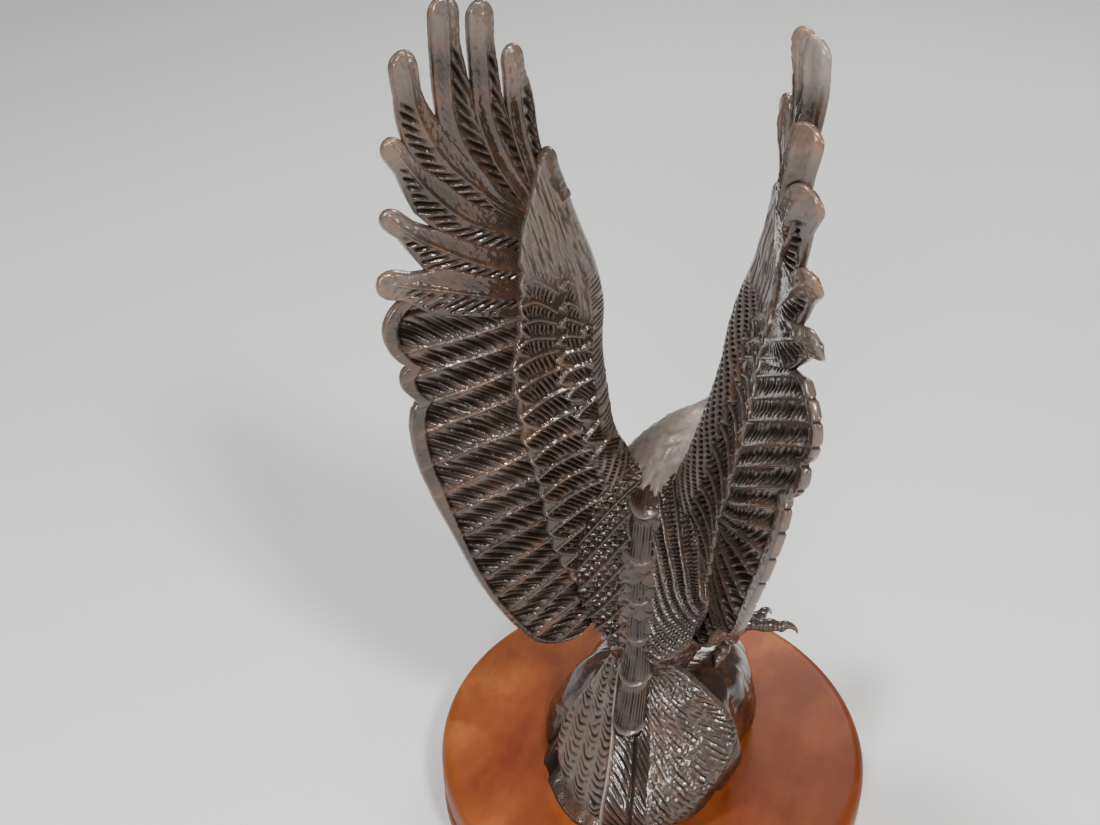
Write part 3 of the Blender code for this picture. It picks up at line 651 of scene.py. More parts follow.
def lattice(along, across, wide):
    """Narrow slanting ladders with dark rungs between them: height and cut."""
    p = (across * 0.86 + along * 0.5) / wide + 0.22 * noise(along / 9, across / 5, 15)
    q = (along * 0.86 - across * 0.5) / 1.45 + 0.25 * noise(along / 4, across / 3, 16)
    stripe = np.abs(p - np.round(p))
    q = q + 0.5 * (np.round(p) % 2)
    rung = np.abs(q - np.round(q))
    hole = smooth((0.34 - stripe) / 0.1) * smooth((rung - 0.16) / 0.1)
    return 0.4 + 0.15 * (stripe > 0.4) - 0.6 * hole, 0.95 * hole


def alula(piece, side):
    """The small pointed feather on the wrist."""
    line = Line([(35.4, 231), (38.4, 238), (40.2, 243), (41, 248)])
    tip = 4.0

    def widths(s):
        close = np.sqrt(np.clip(1 - np.clip((s - line.length + tip) / tip, 0, 1) ** 2, 0, 1)) + 0.02
        return 2.6 * close, 3.2 * close

    def relief(s, d, left, right):
        return 2.4 + 1.0 * (1 - (d / 3.2) ** 2) + cast_wobble(s, d, 9), 0 * s, 0.2 + 0 * s

    feather(piece, wing_place(side), line, widths, relief, 1.6, tip)


# Where the back's skin meets each wing, on the wing's chart, from the shoulder down
BACK_EDGE = {
    1: [(17, 138), (26, 129), (32, 116), (35, 102), (34, 88), (30, 76), (25, 66), (18, 58)],
    -1: [(17, 138), (30, 129), (39, 116), (45, 102), (46, 88), (42, 75), (33, 63), (20, 54)],
}


def back_skin(piece, side):
    """The long feathers that carry the back over into the wing."""
    place = wing_place(side)
    rows, columns = BACK_GRID
    v = np.linspace(0, 1, rows)[:, None]
    z = 137 - 83 * v
    back = np.interp(z, (54, 110, 120, 128, 137), (20.6, 20.4, 20.0, 18.4, 12.4))
    start = np.concatenate([side * 3.4 + 0 * z, back + 0.4, PLINTH_HEIGHT + z], 1)
    chart = Line(BACK_EDGE[side])
    spots = chart.at(v[:, 0] * chart.length)
    finish = place(spots[:, 0], spots[:, 1], 1.6)
    middle = (start + finish) / 2 + np.array([0, 2.0, 0]) * smooth((135 - z) / 20)
    u = np.linspace(0, 1, columns)[None, :, None]
    base = (1 - u) ** 2 * start[:, None] + 2 * u * (1 - u) * middle[:, None] + u * u * finish[:, None]
    down = np.gradient(base, axis=0)
    over = np.gradient(base, axis=1)
    normal = np.cross(over, down) * side
    normal /= np.linalg.norm(normal, axis=2)[..., None]
    across = np.cumsum(np.linalg.norm(over, axis=2), axis=1)
    along = np.cumsum(np.linalg.norm(down, axis=2), axis=0)[:, :1] + 0 * across
    slope = 1.6 if side > 0 else 2.0 - 1.0 * smooth((along - 38) / 46)
    pitch = 9.4 if side > 0 else 12.5
    sway = 0.05 * noise(along / 9, across / 7, 3)
    p = (along - slope * across) / pitch + sway
    number = np.floor(p)
    f = p - number
    low_half = smooth((along - 50) / 14) if side < 0 else 0.0
    sharp = 0.075 if side > 0 else 0.06
    ridge = bell(f - 0.5, sharp)
    between = np.minimum(f, 1 - f)
    ridge = np.maximum(ridge, low_half * bell(between, sharp))
    rung_slope = 0.2 if side > 0 else -0.6
    q = (along - rung_slope * across) / (2.5 if side > 0 else 1.8) + 0.37 * (number % 3)
    rung = np.round(q)
    nick = notch(q - rung, 0.19) * smooth((np.abs(f - 0.5) - 0.05) / 0.06) * (1 - ridge)
    nick = nick * (0.55 + 0.45 * scatter(rung + 7 * number, 4)) * (1.0 - 0.35 * low_half)
    h = 0.3 + 1.3 * ridge - 1.05 * nick - 0.5 * np.abs(f - 0.5) + cast_wobble(along, across, 44, 0.13)
    fade = smooth((1 - u[..., 0]) / 0.10) * smooth(v / 0.03) * smooth((1 - v) / 0.05)
    top = base + normal * (h * fade - 1.4 * (1 - fade))[..., None]
    pick = np.linspace(columns - 1, 0, 6).astype(int)
    under = base[:, pick] - normal[:, pick] * 3.4
    cuts = np.concatenate([np.clip(0.9 * nick + 0.3 * (1 - ridge) * (between < 0.1), 0, 1) * fade,
                           np.zeros((rows, 6))], axis=1)
    none = np.zeros((rows, 6))
    rubs = np.concatenate([0.1 * ridge, none], axis=1)
    pales = np.concatenate([0.25 * ridge, none], axis=1)
    piece.tube(np.concatenate([top, under], axis=1), cuts, rubs, pales)


def wing(side, name, material):
    hand = Piece(name + "_primaries")
    primaries(hand, side)
    alula(hand, side)
    hand.build(material, "bronze_eagle")
    flight = Piece(name + "_secondaries")
    flight_sheet(flight, side)
    flight.build(material, "bronze_eagle")
    cover = Piece(name + "_coverts")
    covert_sheet(cover, side)
    back_skin(cover, side)
    cover.build(material, "bronze_eagle")


def loft(piece, stations, around, rows, side=(1, 0, 0), relief=None, pale=None):
    """A closed tube through (x, y, z, half width, half depth), its widths along the side direction."""
    s = catmull(stations, rows)
    path = s[:, :3] + (0, 0, PLINTH_HEIGHT)
    tangent = np.gradient(path, axis=0)
    tangent /= np.linalg.norm(tangent, axis=1)[:, None]
    deep = np.cross(tangent, np.array(side, float))
    deep /= np.linalg.norm(deep, axis=1)[:, None]
    wide = np.cross(deep, tangent)
    angle = 2 * pi * np.arange(around) / around
    c, n = np.cos(angle)[None, :], np.sin(angle)[None, :]
    reach = np.concatenate([[0], np.cumsum(np.linalg.norm(np.diff(path, axis=0), axis=1))])
    out = wide[:, None] * (c * s[:, 4:5])[..., None] + deep[:, None] * (n * s[:, 3:4])[..., None]
    out /= np.linalg.norm(out, axis=2)[..., None]
    base = path[:, None] + wide[:, None] * (c * s[:, 3:4])[..., None]
    base = base + deep[:, None] * (n * s[:, 4:5])[..., None]
    cut = rub = 0.0
    if relief:
        h, cut, rub = relief(reach[:, None] + 0 * c, angle[None, :] + 0 * reach[:, None], base)
        base = base + out * h[..., None]
    piece.tube(base, cut, rub, pale(reach[:, None], base) if pale else 0.15)


# Middle, half width and half depth of the trunk, the neck and the head, from the rump to the beak
BODY_STATIONS = [
    (-1, 10, 40, 8, 9), (0, 6, 50, 14, 15), (0, 3, 66, 19, 19.5), (0, 2, 88, 22, 21), (0, 2, 108, 22, 20.5),
    (-1, 1, 122, 19, 19), (-4, -5, 130, 15.5, 15.5), (-9, -14, 133, 13.2, 13), (-14.5, -23, 134, 12, 11.8),
    (-18, -31, 133, 11.2, 11), (-21.5, -38, 131, 9.8, 9.6), (-24.2, -43.3, 128.5, 7.2, 7.0),
    (-25.7, -46.6, 126.5, 5.0, 5.4),
]


def scales(s, around, radius, pitch, depth, seed):
    """Overlapping round-ended body feathers in staggered rows: height and cut."""
    row = s / pitch
    number = np.floor(row)
    f = row - number
    columns = np.round(2 * pi * radius / (pitch * 0.85))
    turn = around / (2 * pi) * columns + 0.5 * (number % 2)
    g = turn - np.floor(turn) - 0.5
    arch = 1 - 1.3 * g * g * 2
    inside = f < arch
    local = np.where(inside, f / np.maximum(arch, 0.2), (f - arch) / np.maximum(1 - arch, 0.05))
    h = np.where(inside, depth * local, depth * 0.5 * local)
    groove = bell(f - arch, 0.10)
    shaft = bell(g, 0.06) * inside * 0.3
    streak = 0.25 * np.cos(2 * pi * g * 7) * inside
    h = h + depth * (shaft + streak * 0.5) - depth * 0.9 * groove
    return h, np.clip(groove + 0.3 * (streak < -0.1), 0, 1)


HEAD_HEADING = radians(29)
HEAD_MIDDLE = BODY_STATIONS[9][:3]


def head_chart(points):
    """How far points lie ahead of, to the left of and over the middle of the head."""
    x, y = points[..., 0] - HEAD_MIDDLE[0], points[..., 1] - HEAD_MIDDLE[1]
    up = points[..., 2] - (HEAD_MIDDLE[2] + PLINTH_HEIGHT)
    ahead, out = -x * sin(HEAD_HEADING) - y * cos(HEAD_HEADING), x * cos(HEAD_HEADING) - y * sin(HEAD_HEADING)
    return ahead, out, up


def body(piece):
    """The trunk under rows of round feathers, the soft pale nape, the hackles and the face."""
    def relief(s, around, base):
        nape = smooth((s - 84) / 8)
        flow = s / 2.6 + 1.1 * np.cos(around) + 0.5 * noise(s / 5, around * 3, 4)
        row = flow - np.floor(flow)
        soft = 0.42 * row * smooth((1 - row) / 0.2) * smooth((noise(s / 4, around * 5, 9) + 0.5) / 0.5)
        strand = 0.22 * noise(s / 3.5 + around * 2, around * 14, 11)
        h1, c1 = scales(-s, around, 19, 5.6, 1.1, 1)
        h = h1 * (1 - nape) + (soft + strand) * nape
        cut = c1 * (1 - nape) + 0.35 * nape * (row > 0.86)
        h2, c2 = scales(-s, around, 11, 4.6, 0.8, 2)
        ahead, out, up = head_chart(base)
        hackles = smooth((s - 104) / 8) * smooth((6 - ahead) / 3)
        h = h * (1 - hackles) + h2 * hackles
        cut = cut * (1 - hackles) + c2 * hackles
        h = h + 5.0 * bell(s - 98, 10) * smooth((-up - 3) / 8)
        face = smooth((ahead + 3) / 3) * smooth((np.abs(out) - 4) / 1.5)
        brow = bell(up - 4.2 + 0.14 * (ahead - 7), 1.15) * smooth((13.5 - ahead) / 3)
        socket = bell(ahead - 8, 3.8) * bell(up - 0.4, 2.4)
        gape = bell(up + 4.8, 0.45) * smooth((ahead - 5) / 1.5)
        h = h + face * (2.2 * brow - 2.3 * socket - 0.8 * gape)
        h = h - 1.2 * bell(out, 4.5) * smooth((ahead - 1) / 4) * (up > 2)
        cut = np.clip(cut + face * (0.7 * socket + 0.9 * gape) * (1 - brow), 0, 1)
        return h + 0.1 * noise(s / 0.9, around * 12, 6), 0.8 * cut, 0.15 + 0.3 * face * brow

    def pale(s, base):
        # The nape is paler towards its top: a worn, matt patina and a painted highlight where the light falls
        # on it
        nape = smooth((s - 80) / 5) * (1 - 0.8 * smooth((s - 112) / 10))
        return 0.9 * nape * smooth((base[..., 2] - PLINTH_HEIGHT - 124) / 7)

    loft(piece, BODY_STATIONS, BODY_GRID[1], BODY_GRID[0], relief=relief, pale=pale)


def head(piece):
    """Beak, lower jaw and eyes at the front of the neck."""
    forward = np.array([-sin(HEAD_HEADING), -cos(HEAD_HEADING), 0])
    left = np.array([cos(HEAD_HEADING), -sin(HEAD_HEADING), 0])
    beak = [(-23.6, -42, 127.6, 5.4, 5.6), (-25.2, -45.8, 127.6, 5.3, 5.2), (-26.7, -49, 126.8, 4.6, 4.5),
            (-28.3, -53, 124.4, 3.5, 3.6), (-29.6, -56, 120, 2.3, 2.4), (-29.9, -56.8, 114.6, 0.5, 0.5)]

    def horn(s, around, base):
        cere = smooth((4.2 - s) / 0.8)
        line = bell(s - 4.6, 0.35)
        return 0.35 * cere - 0.3 * line, 0.8 * line, 0.3 + 0 * s

    loft(piece, beak, 36, 50, tuple(forward * 0.4 + (0, 0, 1)), horn)
    jaw = [(-23.5, -42, 125, 3.4, 2.0), (-25.6, -47.2, 122.8, 3.2, 1.9), (-27, -51, 121.4, 2.4, 1.4),
           (-27.8, -53.4, 120.4, 1.0, 0.7)]
    loft(piece, jaw, 28, 30, tuple(left))
    for side in (1, -1):
        middle = HEAD_MIDDLE + forward * 8.0 + side * left * 6.8 + (0, 0, 0.6)
        stations = [tuple(middle + side * left * f) + (radius, radius)
                    for f, radius in ((-1.0, 1.9), (0.8, 1.9), (1.6, 1.6), (2.2, 0.9), (2.4, 0.2))]
        loft(piece, stations, 24, 16, tuple(forward))


# The lower ends of the plates of the spine, heights along it, how far back it lies and its half width there
SPINE_ENDS = [150, 124, 105.4, 88, 71, 51, 31]
SPINE_BACK = ((30, 44, 58, 110, 120, 128, 135, 140, 144.5),
              (27.4, 23.8, 21.2, 21.0, 20.6, 18.4, 11.4, 8.4, 2.5))
SPINE_HALF = ((31, 50, 71, 110, 135, 144.5), (5.4, 5.2, 5.0, 5.0, 5.6, 5.0))


def spine(piece):
    """The polished column of overlapping plates down the back."""
    rows, around = SPINE_GRID
    z = np.linspace(135, 30, rows)[:, None]
    angle = 2 * pi * np.arange(around)[None, :] / around
    c, n = np.cos(angle), np.sin(angle)
    low = z - 2.8 * c ** 2 * (n > -0.5)
    t = np.zeros_like(low)
    for top, foot in zip(SPINE_ENDS[:-1], SPINE_ENDS[1:]):
        t = np.where((low <= top) & (low > foot), (top - low) / (top - foot), t)
    lip = 0.6 * bell(1 - t, 0.045)
    phase = angle * 4.6 + 0.12 * np.sin(z / 4)
    stripe = np.abs(phase - np.round(phase))
    groove = 0.7 * notch(stripe, 0.14) * smooth((t - 0.12) / 0.15) * smooth((0.93 - t) / 0.08) * (n > 0)
    groove = groove * (0.4 + 0.6 * scatter(np.round(phase), 3))
    radius = 1.3 * t ** 2 + lip - groove + cast_wobble(z, angle * 5, 61, 0.05)
    x = c * (np.interp(z, *SPINE_HALF) + 0.6 * radius)
    y = np.interp(z, *SPINE_BACK) - 1.0 + n * (3.2 + radius)
    points = np.stack([x + 0 * z, y, PLINTH_HEIGHT + z + 0 * c], -1)
    # Dark in the flutes, the patina there, and just under each plate's lip, a painted shade; each lip is
    # painted paler, a painted highlight
    dark = np.clip(groove / 0.4 + 0.9 * bell(t, 0.05), 0, 1)
    piece.tube(points, dark, 0.05, np.clip(0.05 + 0.4 * bell(1 - t, 0.06) - dark, 0, 1))


TAIL_PIVOT = (-1.0, 75.0)
TAIL_BACK = 23.3
TAIL_BOW = 0.018


def tail_place(x, z, h):
    """Places a point of the fan, given across and along its plane from the pivot."""
    r = np.hypot(x, z)
    across = TAIL_PIVOT[0] + x
    y = TAIL_BACK - 7 * smooth((42 - r) / 18) + 22 * smooth((r - 38) / 36) - TAIL_BOW * (across + 3) ** 2 + h
    return np.stack([across, y, PLINTH_HEIGHT + TAIL_PIVOT[1] + z], -1)


FAN_LEFT = [
    (9, -12), (12, -20), (14.8, -27.6), (19.4, -37.8), (24.6, -48.2), (27.4, -57), (26.6, -63),
    (23.2, -68), (18.0, -72), (12.0, -75), (6, -76.6), (0, -77.4),
]
FAN_RIGHT = [
    (-4, -11), (-8, -15), (-12.6, -19.2), (-18.8, -23.6), (-24.8, -28.6), (-30.2, -34.8), (-34.6, -41.4),
    (-35.8, -47), (-34.6, -53.4), (-31.4, -60), (-26.6, -66.6), (-18, -73), (-9, -76.8), (-3, -77.6),
]
# Heights at which the crest, the middle and the border of the middle feather are given
FAN_MARKS = (-78, -66, -60, -53, -42, -28)


def tail(piece):
    """The fan: a crested middle feather between two panels of barbs in slanting columns."""
    left, right = Line(FAN_LEFT), Line(FAN_RIGHT)
    rows, columns = FAN_GRID
    v = np.linspace(0, 1, rows)
    first, last = left.at(v * left.length), right.at(v * right.length)
    u = np.linspace(0, 1, columns)[None, :]
    x = first[:, :1] * (1 - u) + last[:, :1] * u
    z = first[:, 1:] * (1 - u) + last[:, 1:] * u
    crest = np.interp(z, FAN_MARKS, (0.8, 2.4, 3.0, 4.4, 7.0, 8.6))
    centre = np.interp(z, FAN_MARKS, (-9.8, -7.6, -6.2, -4.0, -0.6, 2.0))
    border = np.interp(z, FAN_MARKS, (-16, -14, -12.8, -10.8, -7.6, -3.6))
    r, turn = np.hypot(x, z), np.arctan2(x, -z)
    inside = smooth((crest + 0.5 - x) / 0.5) * smooth((x - border) / 0.6)
    t_left = np.clip((crest - x) / (crest - centre), 0, 1)
    t_right = np.clip((centre - x) / (centre - border), 0, 1)
    reach = np.where(x > centre, crest - x, centre - x)
    full = np.where(x > centre, crest - centre, centre - border)
    deep = barbs(-z + 5.0 * (x <= centre), np.clip(reach, 0.01, None), full, 2.7, 1.05, 0.7, 300, 0.9, 0.4,
                 0.11)
    edge = bell(crest - x - 0.4, 0.6)
    keel = 3.1 - 2.2 * smooth(t_left * 1.2) + 0.45 * t_right ** 2 + 0.9 * edge
    keel_h = keel - deep - 0.7 * bell(x - centre, 1.0)
    keel_cut = np.clip(deep / 0.6 + 0.9 * bell(x - centre, 1.1), 0, 1) * (1 - edge)
    on_left = x > (crest + centre) / 2
    start = np.where(on_left, np.arctan2(crest, -z), np.arctan2(border, -z))
    step = np.where(on_left, 0.108, 0.112)
    p = np.abs(turn - start) / step
    number = np.floor(p)
    f = p - number
    q_left = (r + 0.7 * np.cos(2 * pi * f) + 0.8 * noise(x / 3, z / 3, 6)) / 2.1 + 0.4 * number
    q_right = (r - 1.45 * r * step * f + 0.5 * noise(x / 4, z / 4, 7)) / 3.0 + 0.31 * number
    q = np.where(on_left, q_left, q_right)
    stroke = np.round(q)
    lens = np.sqrt(np.clip(np.sin(pi * np.clip((f - 0.06) / 0.88, 0, 1)), 0, 1))
    nick = notch(q - stroke, np.where(on_left, 0.15, 0.14)) * lens
    nick = nick * (0.55 + 0.45 * scatter(stroke + 13 * number, 5))
    nick = nick * smooth((noise(x / 1.6, z / 1.6, 8) + 0.8) / 0.5)
    rough = noise(x / 1.1, z / 1.1, 9) + 0.6 * noise(x / 0.6, z / 0.6, 10)
    speckle = smooth((noise(x / 7, z / 7, 12) + 0.35) / 0.5) * (~on_left)
    panel = 1.1 + 0.3 * np.sin(pi * f) - np.where(on_left, 0.6, 0.9) * nick + (0.12 + 0.2 * speckle) * rough
    h = keel_h * inside + panel * (1 - inside)
    cut = keel_cut * inside + np.clip(1.1 * nick, 0, 1) * (1 - inside)
    pale = 0.8 * edge * inside + (0.14 + 0.28 * on_left) * (1 - inside) * (1 - nick)
    width = np.linalg.norm(first - last, axis=1)[:, None]
    rim = np.minimum(np.minimum(u, 1 - u) * width, (1 - v)[:, None] * 60)
    close = 0.04 + 0.96 * np.sqrt(1 - (1 - np.clip(rim / 1.5, 0, 1)) ** 2)
    low = -2.6
    middle = (h + low) / 2
    top, under = middle + (h - middle) * close, middle + (low - middle) * close
    pick = np.linspace(columns - 1, 0, 16).astype(int)
    back = tail_place(x[:, pick], z[:, pick], under[:, pick] + 0.9)
    loops = np.concatenate([tail_place(x, z, top + 0.9), back], axis=1)
    none = np.zeros((rows, 16))
    rub = 0.25 * np.clip(1 - rim / 1.2, 0, 1) + 0.1
    piece.tube(loops, np.concatenate([cut * close, none], 1), np.concatenate([rub, none], 1),
               np.concatenate([pale, none + 0.2], 1))


LEFT_FOOT = (17, -13, 38.5)
RIGHT_FOOT = (-21, -22, 38.5)


# Distance ahead of the foot's middle, height over it and radius
TOE = ((-1, 3.2, 2.4), (2.5, 4.0, 2.9), (5.5, 4.2, 2.9), (7.5, 3.4, 2.3), (9.5, 3.0, 2.6), (12, 3.2, 2.7),
       (14, 2.6, 2.1), (15.5, 2.2, 2.2), (17, 2.4, 1.2))
CLAW = ((14.6, 2.9, 1.3), (16.4, 3.2, 1.7), (18.4, 2.4, 1.3), (20, 0.6, 0.8), (20.6, -1.4, 0.2))
# Degrees outwards, reach and lift of each toe, with the outer one of the left and of the right foot
TOES = [(-22, 1.15, 0.0), (18, 1.0, 0.0), (178, 0.75, 0.0)]
OUTER_TOE = {1: (-62, 1.0, 0.0), -1: (-64, 1.2, 5.0)}


def leg(piece, side, foot):
    """A feathered thigh and a foot with three toes ahead and one behind."""
    x, y, z = foot
    thigh = [(side * 10, -2, 78, 7, 8), (side * 13, -5, 70, 10, 11.5), (side * 14.5, -9, 60, 9.2, 11),
             ((side * 15 + x) / 2, (y - 9) / 2, 52, 6.2, 7), (x, y + 2, 46.5, 4.0, 4.4),
             (x, y + 1, 42, 3.6, 4)]

    def feathers(s, around, base):
        h, cut = scales(s, around, 8, 5.2, 0.7, 3)
        fade = smooth((s - 3) / 4) * smooth((33 - s) / 6)
        return h * fade + 0.08 * noise(s, around * 6, 2), cut * fade * 0.8, 0.2 + 0 * s

    loft(piece, thigh, 64, 84, relief=feathers)

    def scutes(s, around, base):
        ring = notch((s / 1.7) % 1 - 0.5, 0.14) * (np.sin(around) > -0.2)
        return -0.22 * ring, 0.8 * ring, 0.3 + 0 * s

    for turn, reach, raised in [OUTER_TOE[side]] + TOES:
        heading = radians(turn * side)
        step = np.array([-sin(heading), -cos(heading), 0])
        across = (cos(heading), -sin(heading), 0)
        for profile, relief in ((TOE, scutes), (CLAW, None)):
            stations = []
            for along, lift, radius in profile:
                spot = np.array([x, y, z + lift + raised]) + step * along * reach
                stations.append((*spot, radius, radius * 0.9))
            loft(piece, stations, 20, 34, across, relief)


# Height, then reach to the left, to the right, to the front and to the back
ROCK_LEVELS = [
    (0.3, 38.5, 33, 46, 50), (5, 38, 34, 46, 41), (12, 35.5, 34, 45, 30), (20, 32, 33, 42.5, 23),
    (28, 27.5, 31, 39, 17.5), (35, 22.5, 27, 33, 13), (39.5, 15, 18.5, 24, 8), (41.2, 4, 4, 5, 2),
]


def rock(piece):
    """A rock with soft upright folds, its back sloping away under the tail."""
    rows, count = ROCK_GRID
    levels = catmull(ROCK_LEVELS, rows)
    angle = (2 * pi * np.arange(count) / count)[None, :]
    z = levels[:, 0:1]
    c, s = np.cos(angle), np.sin(angle)
    wide = np.where(c > 0, levels[:, 1:2], levels[:, 2:3])
    deep = np.where(s > 0, levels[:, 4:5], levels[:, 3:4])
    power = np.where(s < 0, 2.6, 2.1)
    reach = (np.abs(c / wide) ** power + np.abs(s / deep) ** power) ** (-1 / power)
    fold = 1.3 * np.sin(5 * angle + 0.85) + 0.8 * np.sin(9 * angle + z * 0.05)
    lump = 3.5 * bell(angle - radians(168), 0.22) * bell(z - 14, 9)
    reach = reach + (fold + lump) * smooth((44 - z) / 20)
    bumps = 0.55 * noise(angle * 7 + 3, z / 9, 1) + 0.25 * noise(angle * 16, z / 4, 2)
    creases = np.clip(noise(angle * 9 + 0.3 * noise(angle * 4, z / 8, 5), z / 26, 8) - 0.35, 0, 1) * 2.2
    patch = noise(angle * 4, z / 9, 9)
    reach = reach + bumps - creases + 0.12 * noise(angle * 60, z / 1.2, 3)
    cut = np.clip(creases * 0.5 + 0.15 * (patch > 0.3), 0, 1)
    top = PLINTH_HEIGHT + z + 0 * angle
    piece.tube(np.stack([reach * c, reach * s, top], -1), cut, 0.2)


# Distance in from the plinth's edge and height, from its underside up
PLINTH_PROFILE = [
    (6, 0.0), (2.4, 0.0), (0.9, 0.9), (0.3, 2.6), (0.3, 5.0), (0.8, 6.6), (2.0, 7.5), (3.7, 7.9), (4.0, 8.3),
    (4.0, 9.0), (3.6, 9.5), (2.0, 10.1), (0.6, 11.6), (0, 13.8), (0, 17.0), (0, 20.4), (0.5, 22.6),
    (1.6, 24.0), (3.2, 24.8), (5, 25.0), (7, 25.0),
]


def plinth(material):
    """A turned disc with a round upper edge, a groove, and a lower ring."""
    piece = Piece("turned_plinth")
    profile = [(PLINTH_RADIUS - inward, z) for inward, z in PLINTH_PROFILE]
    curve = np.clip(catmull(profile, PLINTH_GRID[0]), 0, (PLINTH_RADIUS, PLINTH_HEIGHT))
    base = [(k, 0.0) for k in (0.5, 20, 45)]
    top = [(k, PLINTH_HEIGHT) for k in (60, 45, 30, 15, 0.5)]
    rings = np.array(base + curve.tolist() + top)
    around = 2 * pi * np.arange(PLINTH_GRID[1]) / PLINTH_GRID[1]
    loops = np.stack([rings[:, :1] * np.cos(around), rings[:, :1] * np.sin(around),
                      rings[:, 1:] + 0 * around], -1)
    # The groove is painted darker, a painted shade in its hollow
    groove = bell(rings[:, 1:] - 8.5, 0.9) * (rings[:, :1] > 70)
    piece.tube(loops, groove + 0 * around, 0.0)
    return piece.build(material, "wood_plinth")


class Nodes:
    """A material under construction, with short names for the nodes that it is made of."""

    def __init__(self, name):
        self.material = bpy.data.materials.new(name)
        self.material.use_nodes = True
        self.tree = self.material.node_tree
        self.shader = self.tree.nodes["Principled BSDF"]
        self.where = self.tree.nodes.new("ShaderNodeTexCoord").outputs["Object"]

    def feed(self, socket, value):
        """Links a socket to an output, or sets it to a number or a colour."""
        if isinstance(value, (int, float)):
            socket.default_value = value
        elif isinstance(value, tuple):
            socket.default_value = (*value, 1.0)
        else:
            self.tree.links.new(value, socket)

    def shade(self, **values):
        """Feeds sockets of the shader, their names written with _ for a space."""
        for name, value in values.items():
            self.feed(self.shader.inputs[name.replace("_", " ")], value)

    def attribute(self, name):
        made = self.tree.nodes.new("ShaderNodeAttribute")
        made.attribute_name = name
        return made.outputs["Fac"]

    def noise(self, scale, detail, rough, stretch=(1.0, 1.0, 1.0)):
        mapping = self.tree.nodes.new("ShaderNodeMapping")
        mapping.inputs["Scale"].default_value = stretch
        self.feed(mapping.inputs["Vector"], self.where)
        made = self.tree.nodes.new("ShaderNodeTexNoise")
        for name, value in (("Scale", scale), ("Detail", detail), ("Roughness", rough),
                            ("Vector", mapping.outputs["Vector"])):
            self.feed(made.inputs[name], value)
        return made.outputs["Fac"]

    def ramp(self, source, stops):
        made = self.tree.nodes.new("ShaderNodeValToRGB")
        elements = made.color_ramp.elements
        while len(elements) < len(stops):
            elements.new(0.5)
        for element, (place, colour) in zip(elements, stops):
            element.position = place
            element.color = (*colour, 1.0)
        self.feed(made.inputs["Fac"], source)
        return made.outputs["Color"]

    def mix(self, factor, first, second):
        made = self.tree.nodes.new("ShaderNodeMix")
        made.data_type = "RGBA"
        for name, value in (("Factor", factor), ("A", first), ("B", second)):
            self.feed(made.inputs[name], value)
        return made.outputs["Result"]

    def calc(self, operation, *values, clamp=False):
        made = self.tree.nodes.new("ShaderNodeMath")
        made.operation = operation
        made.use_clamp = clamp
        for socket, value in zip(made.inputs, values):
            self.feed(socket, value)
        return made.outputs["Value"]

    def times(self, *values, clamp=False):
        return self.calc("MULTIPLY", *values, clamp=clamp)

    def plus(self, *values, clamp=False):
        return self.calc("ADD", *values, clamp=clamp)

    def bump(self, height, strength, distance):
        made = self.tree.nodes.new("ShaderNodeBump")
        for name, value in (("Strength", strength), ("Distance", distance), ("Height", height)):
            self.feed(made.inputs[name], value)
        return made.outputs["Normal"]


def grey(value):
    return (value, value, value)


BLACK = grey(0.0)
PATINA = [(0.30, (0.010, 0.007, 0.005)), (0.5, (0.019, 0.0125, 0.009)), (0.72, (0.044, 0.028, 0.019))]
PATINA_SPECKS = (0.048, 0.029, 0.018)
# Pale colours: worn patina, and in places a painted sheen and highlights
WORN_AND_SHEEN = ((0.17, 0.140, 0.113), (0.30, 0.257, 0.222))
COPPER = (0.20, 0.080, 0.034)
# Colour of the cuts: patina in the hollows, and in places a painted shade under overlapping edges
CUT_PATINA_AND_SHADE = (0.006, 0.004, 0.003)


def bronze_material():
    """Dark brown patina, paler and warmer where it is worn, black in the cuts, under a thin hard gloss.

    The black is in places a painted shade under overlapping edges, and the paleness in places a painted
    sheen and highlights.
    """
    m = Nodes("patinated_bronze")
    cut, rub, pale = m.attribute("cut"), m.attribute("rub"), m.attribute("pale")
    broad = m.noise(38, 5, 0.6)
    speck = m.noise(420, 4, 0.65)
    fine = m.noise(1400, 3, 0.6)
    base = m.mix(m.times(speck, 0.35), m.ramp(broad, PATINA), PATINA_SPECKS)
    base = m.mix(m.times(pale, 0.85, clamp=True), base, m.mix(speck, *WORN_AND_SHEEN))
    warm = m.ramp(m.noise(90, 4, 0.7), [(0.46, BLACK), (0.66, grey(1.0))])
    warmth = m.times(warm, m.plus(m.times(rub, 0.6), 0.14), clamp=True)
    # Dark in the cuts: patina in the hollows, and in places a painted shade under overlapping edges
    patina_and_shade = m.times(cut, m.plus(m.times(broad, -0.5), 1.25), clamp=True)
    rough = m.plus(m.plus(m.times(speck, 0.24), m.times(patina_and_shade, 0.25)), m.times(pale, 0.18))
    bare = m.plus(m.times(pale, 0.7), m.times(patina_and_shade, 0.8))
    m.shade(
        Base_Color=m.mix(patina_and_shade, m.mix(warmth, base, COPPER), CUT_PATINA_AND_SHADE),
        Roughness=m.plus(rough, 0.10, clamp=True),
        Metallic=0.15,
        Specular_IOR_Level=m.calc("SUBTRACT", 0.22, m.times(patina_and_shade, 0.2), clamp=True),
        Coat_Weight=m.calc("SUBTRACT", 0.78, bare, clamp=True),
        Coat_Roughness=0.06,
        Normal=m.bump(m.plus(speck, m.times(fine, 0.6)), 0.7, 0.0002),
        Coat_Normal=m.bump(speck, 0.5, 0.0002),
    )
    return m.material


STAIN = [(0.36, (0.10, 0.018, 0.004)), (0.5, (0.18, 0.046, 0.010)), (0.64, (0.29, 0.095, 0.022))]
STAIN_BLOTCH = (0.12, 0.024, 0.006)
STAIN_FIBRE = (0.20, 0.045, 0.012)
STAIN_PORES = (0.10, 0.028, 0.010)
# Colour of the painted shade in the plinth's groove
GROOVE_SHADE = (0.05, 0.018, 0.010)


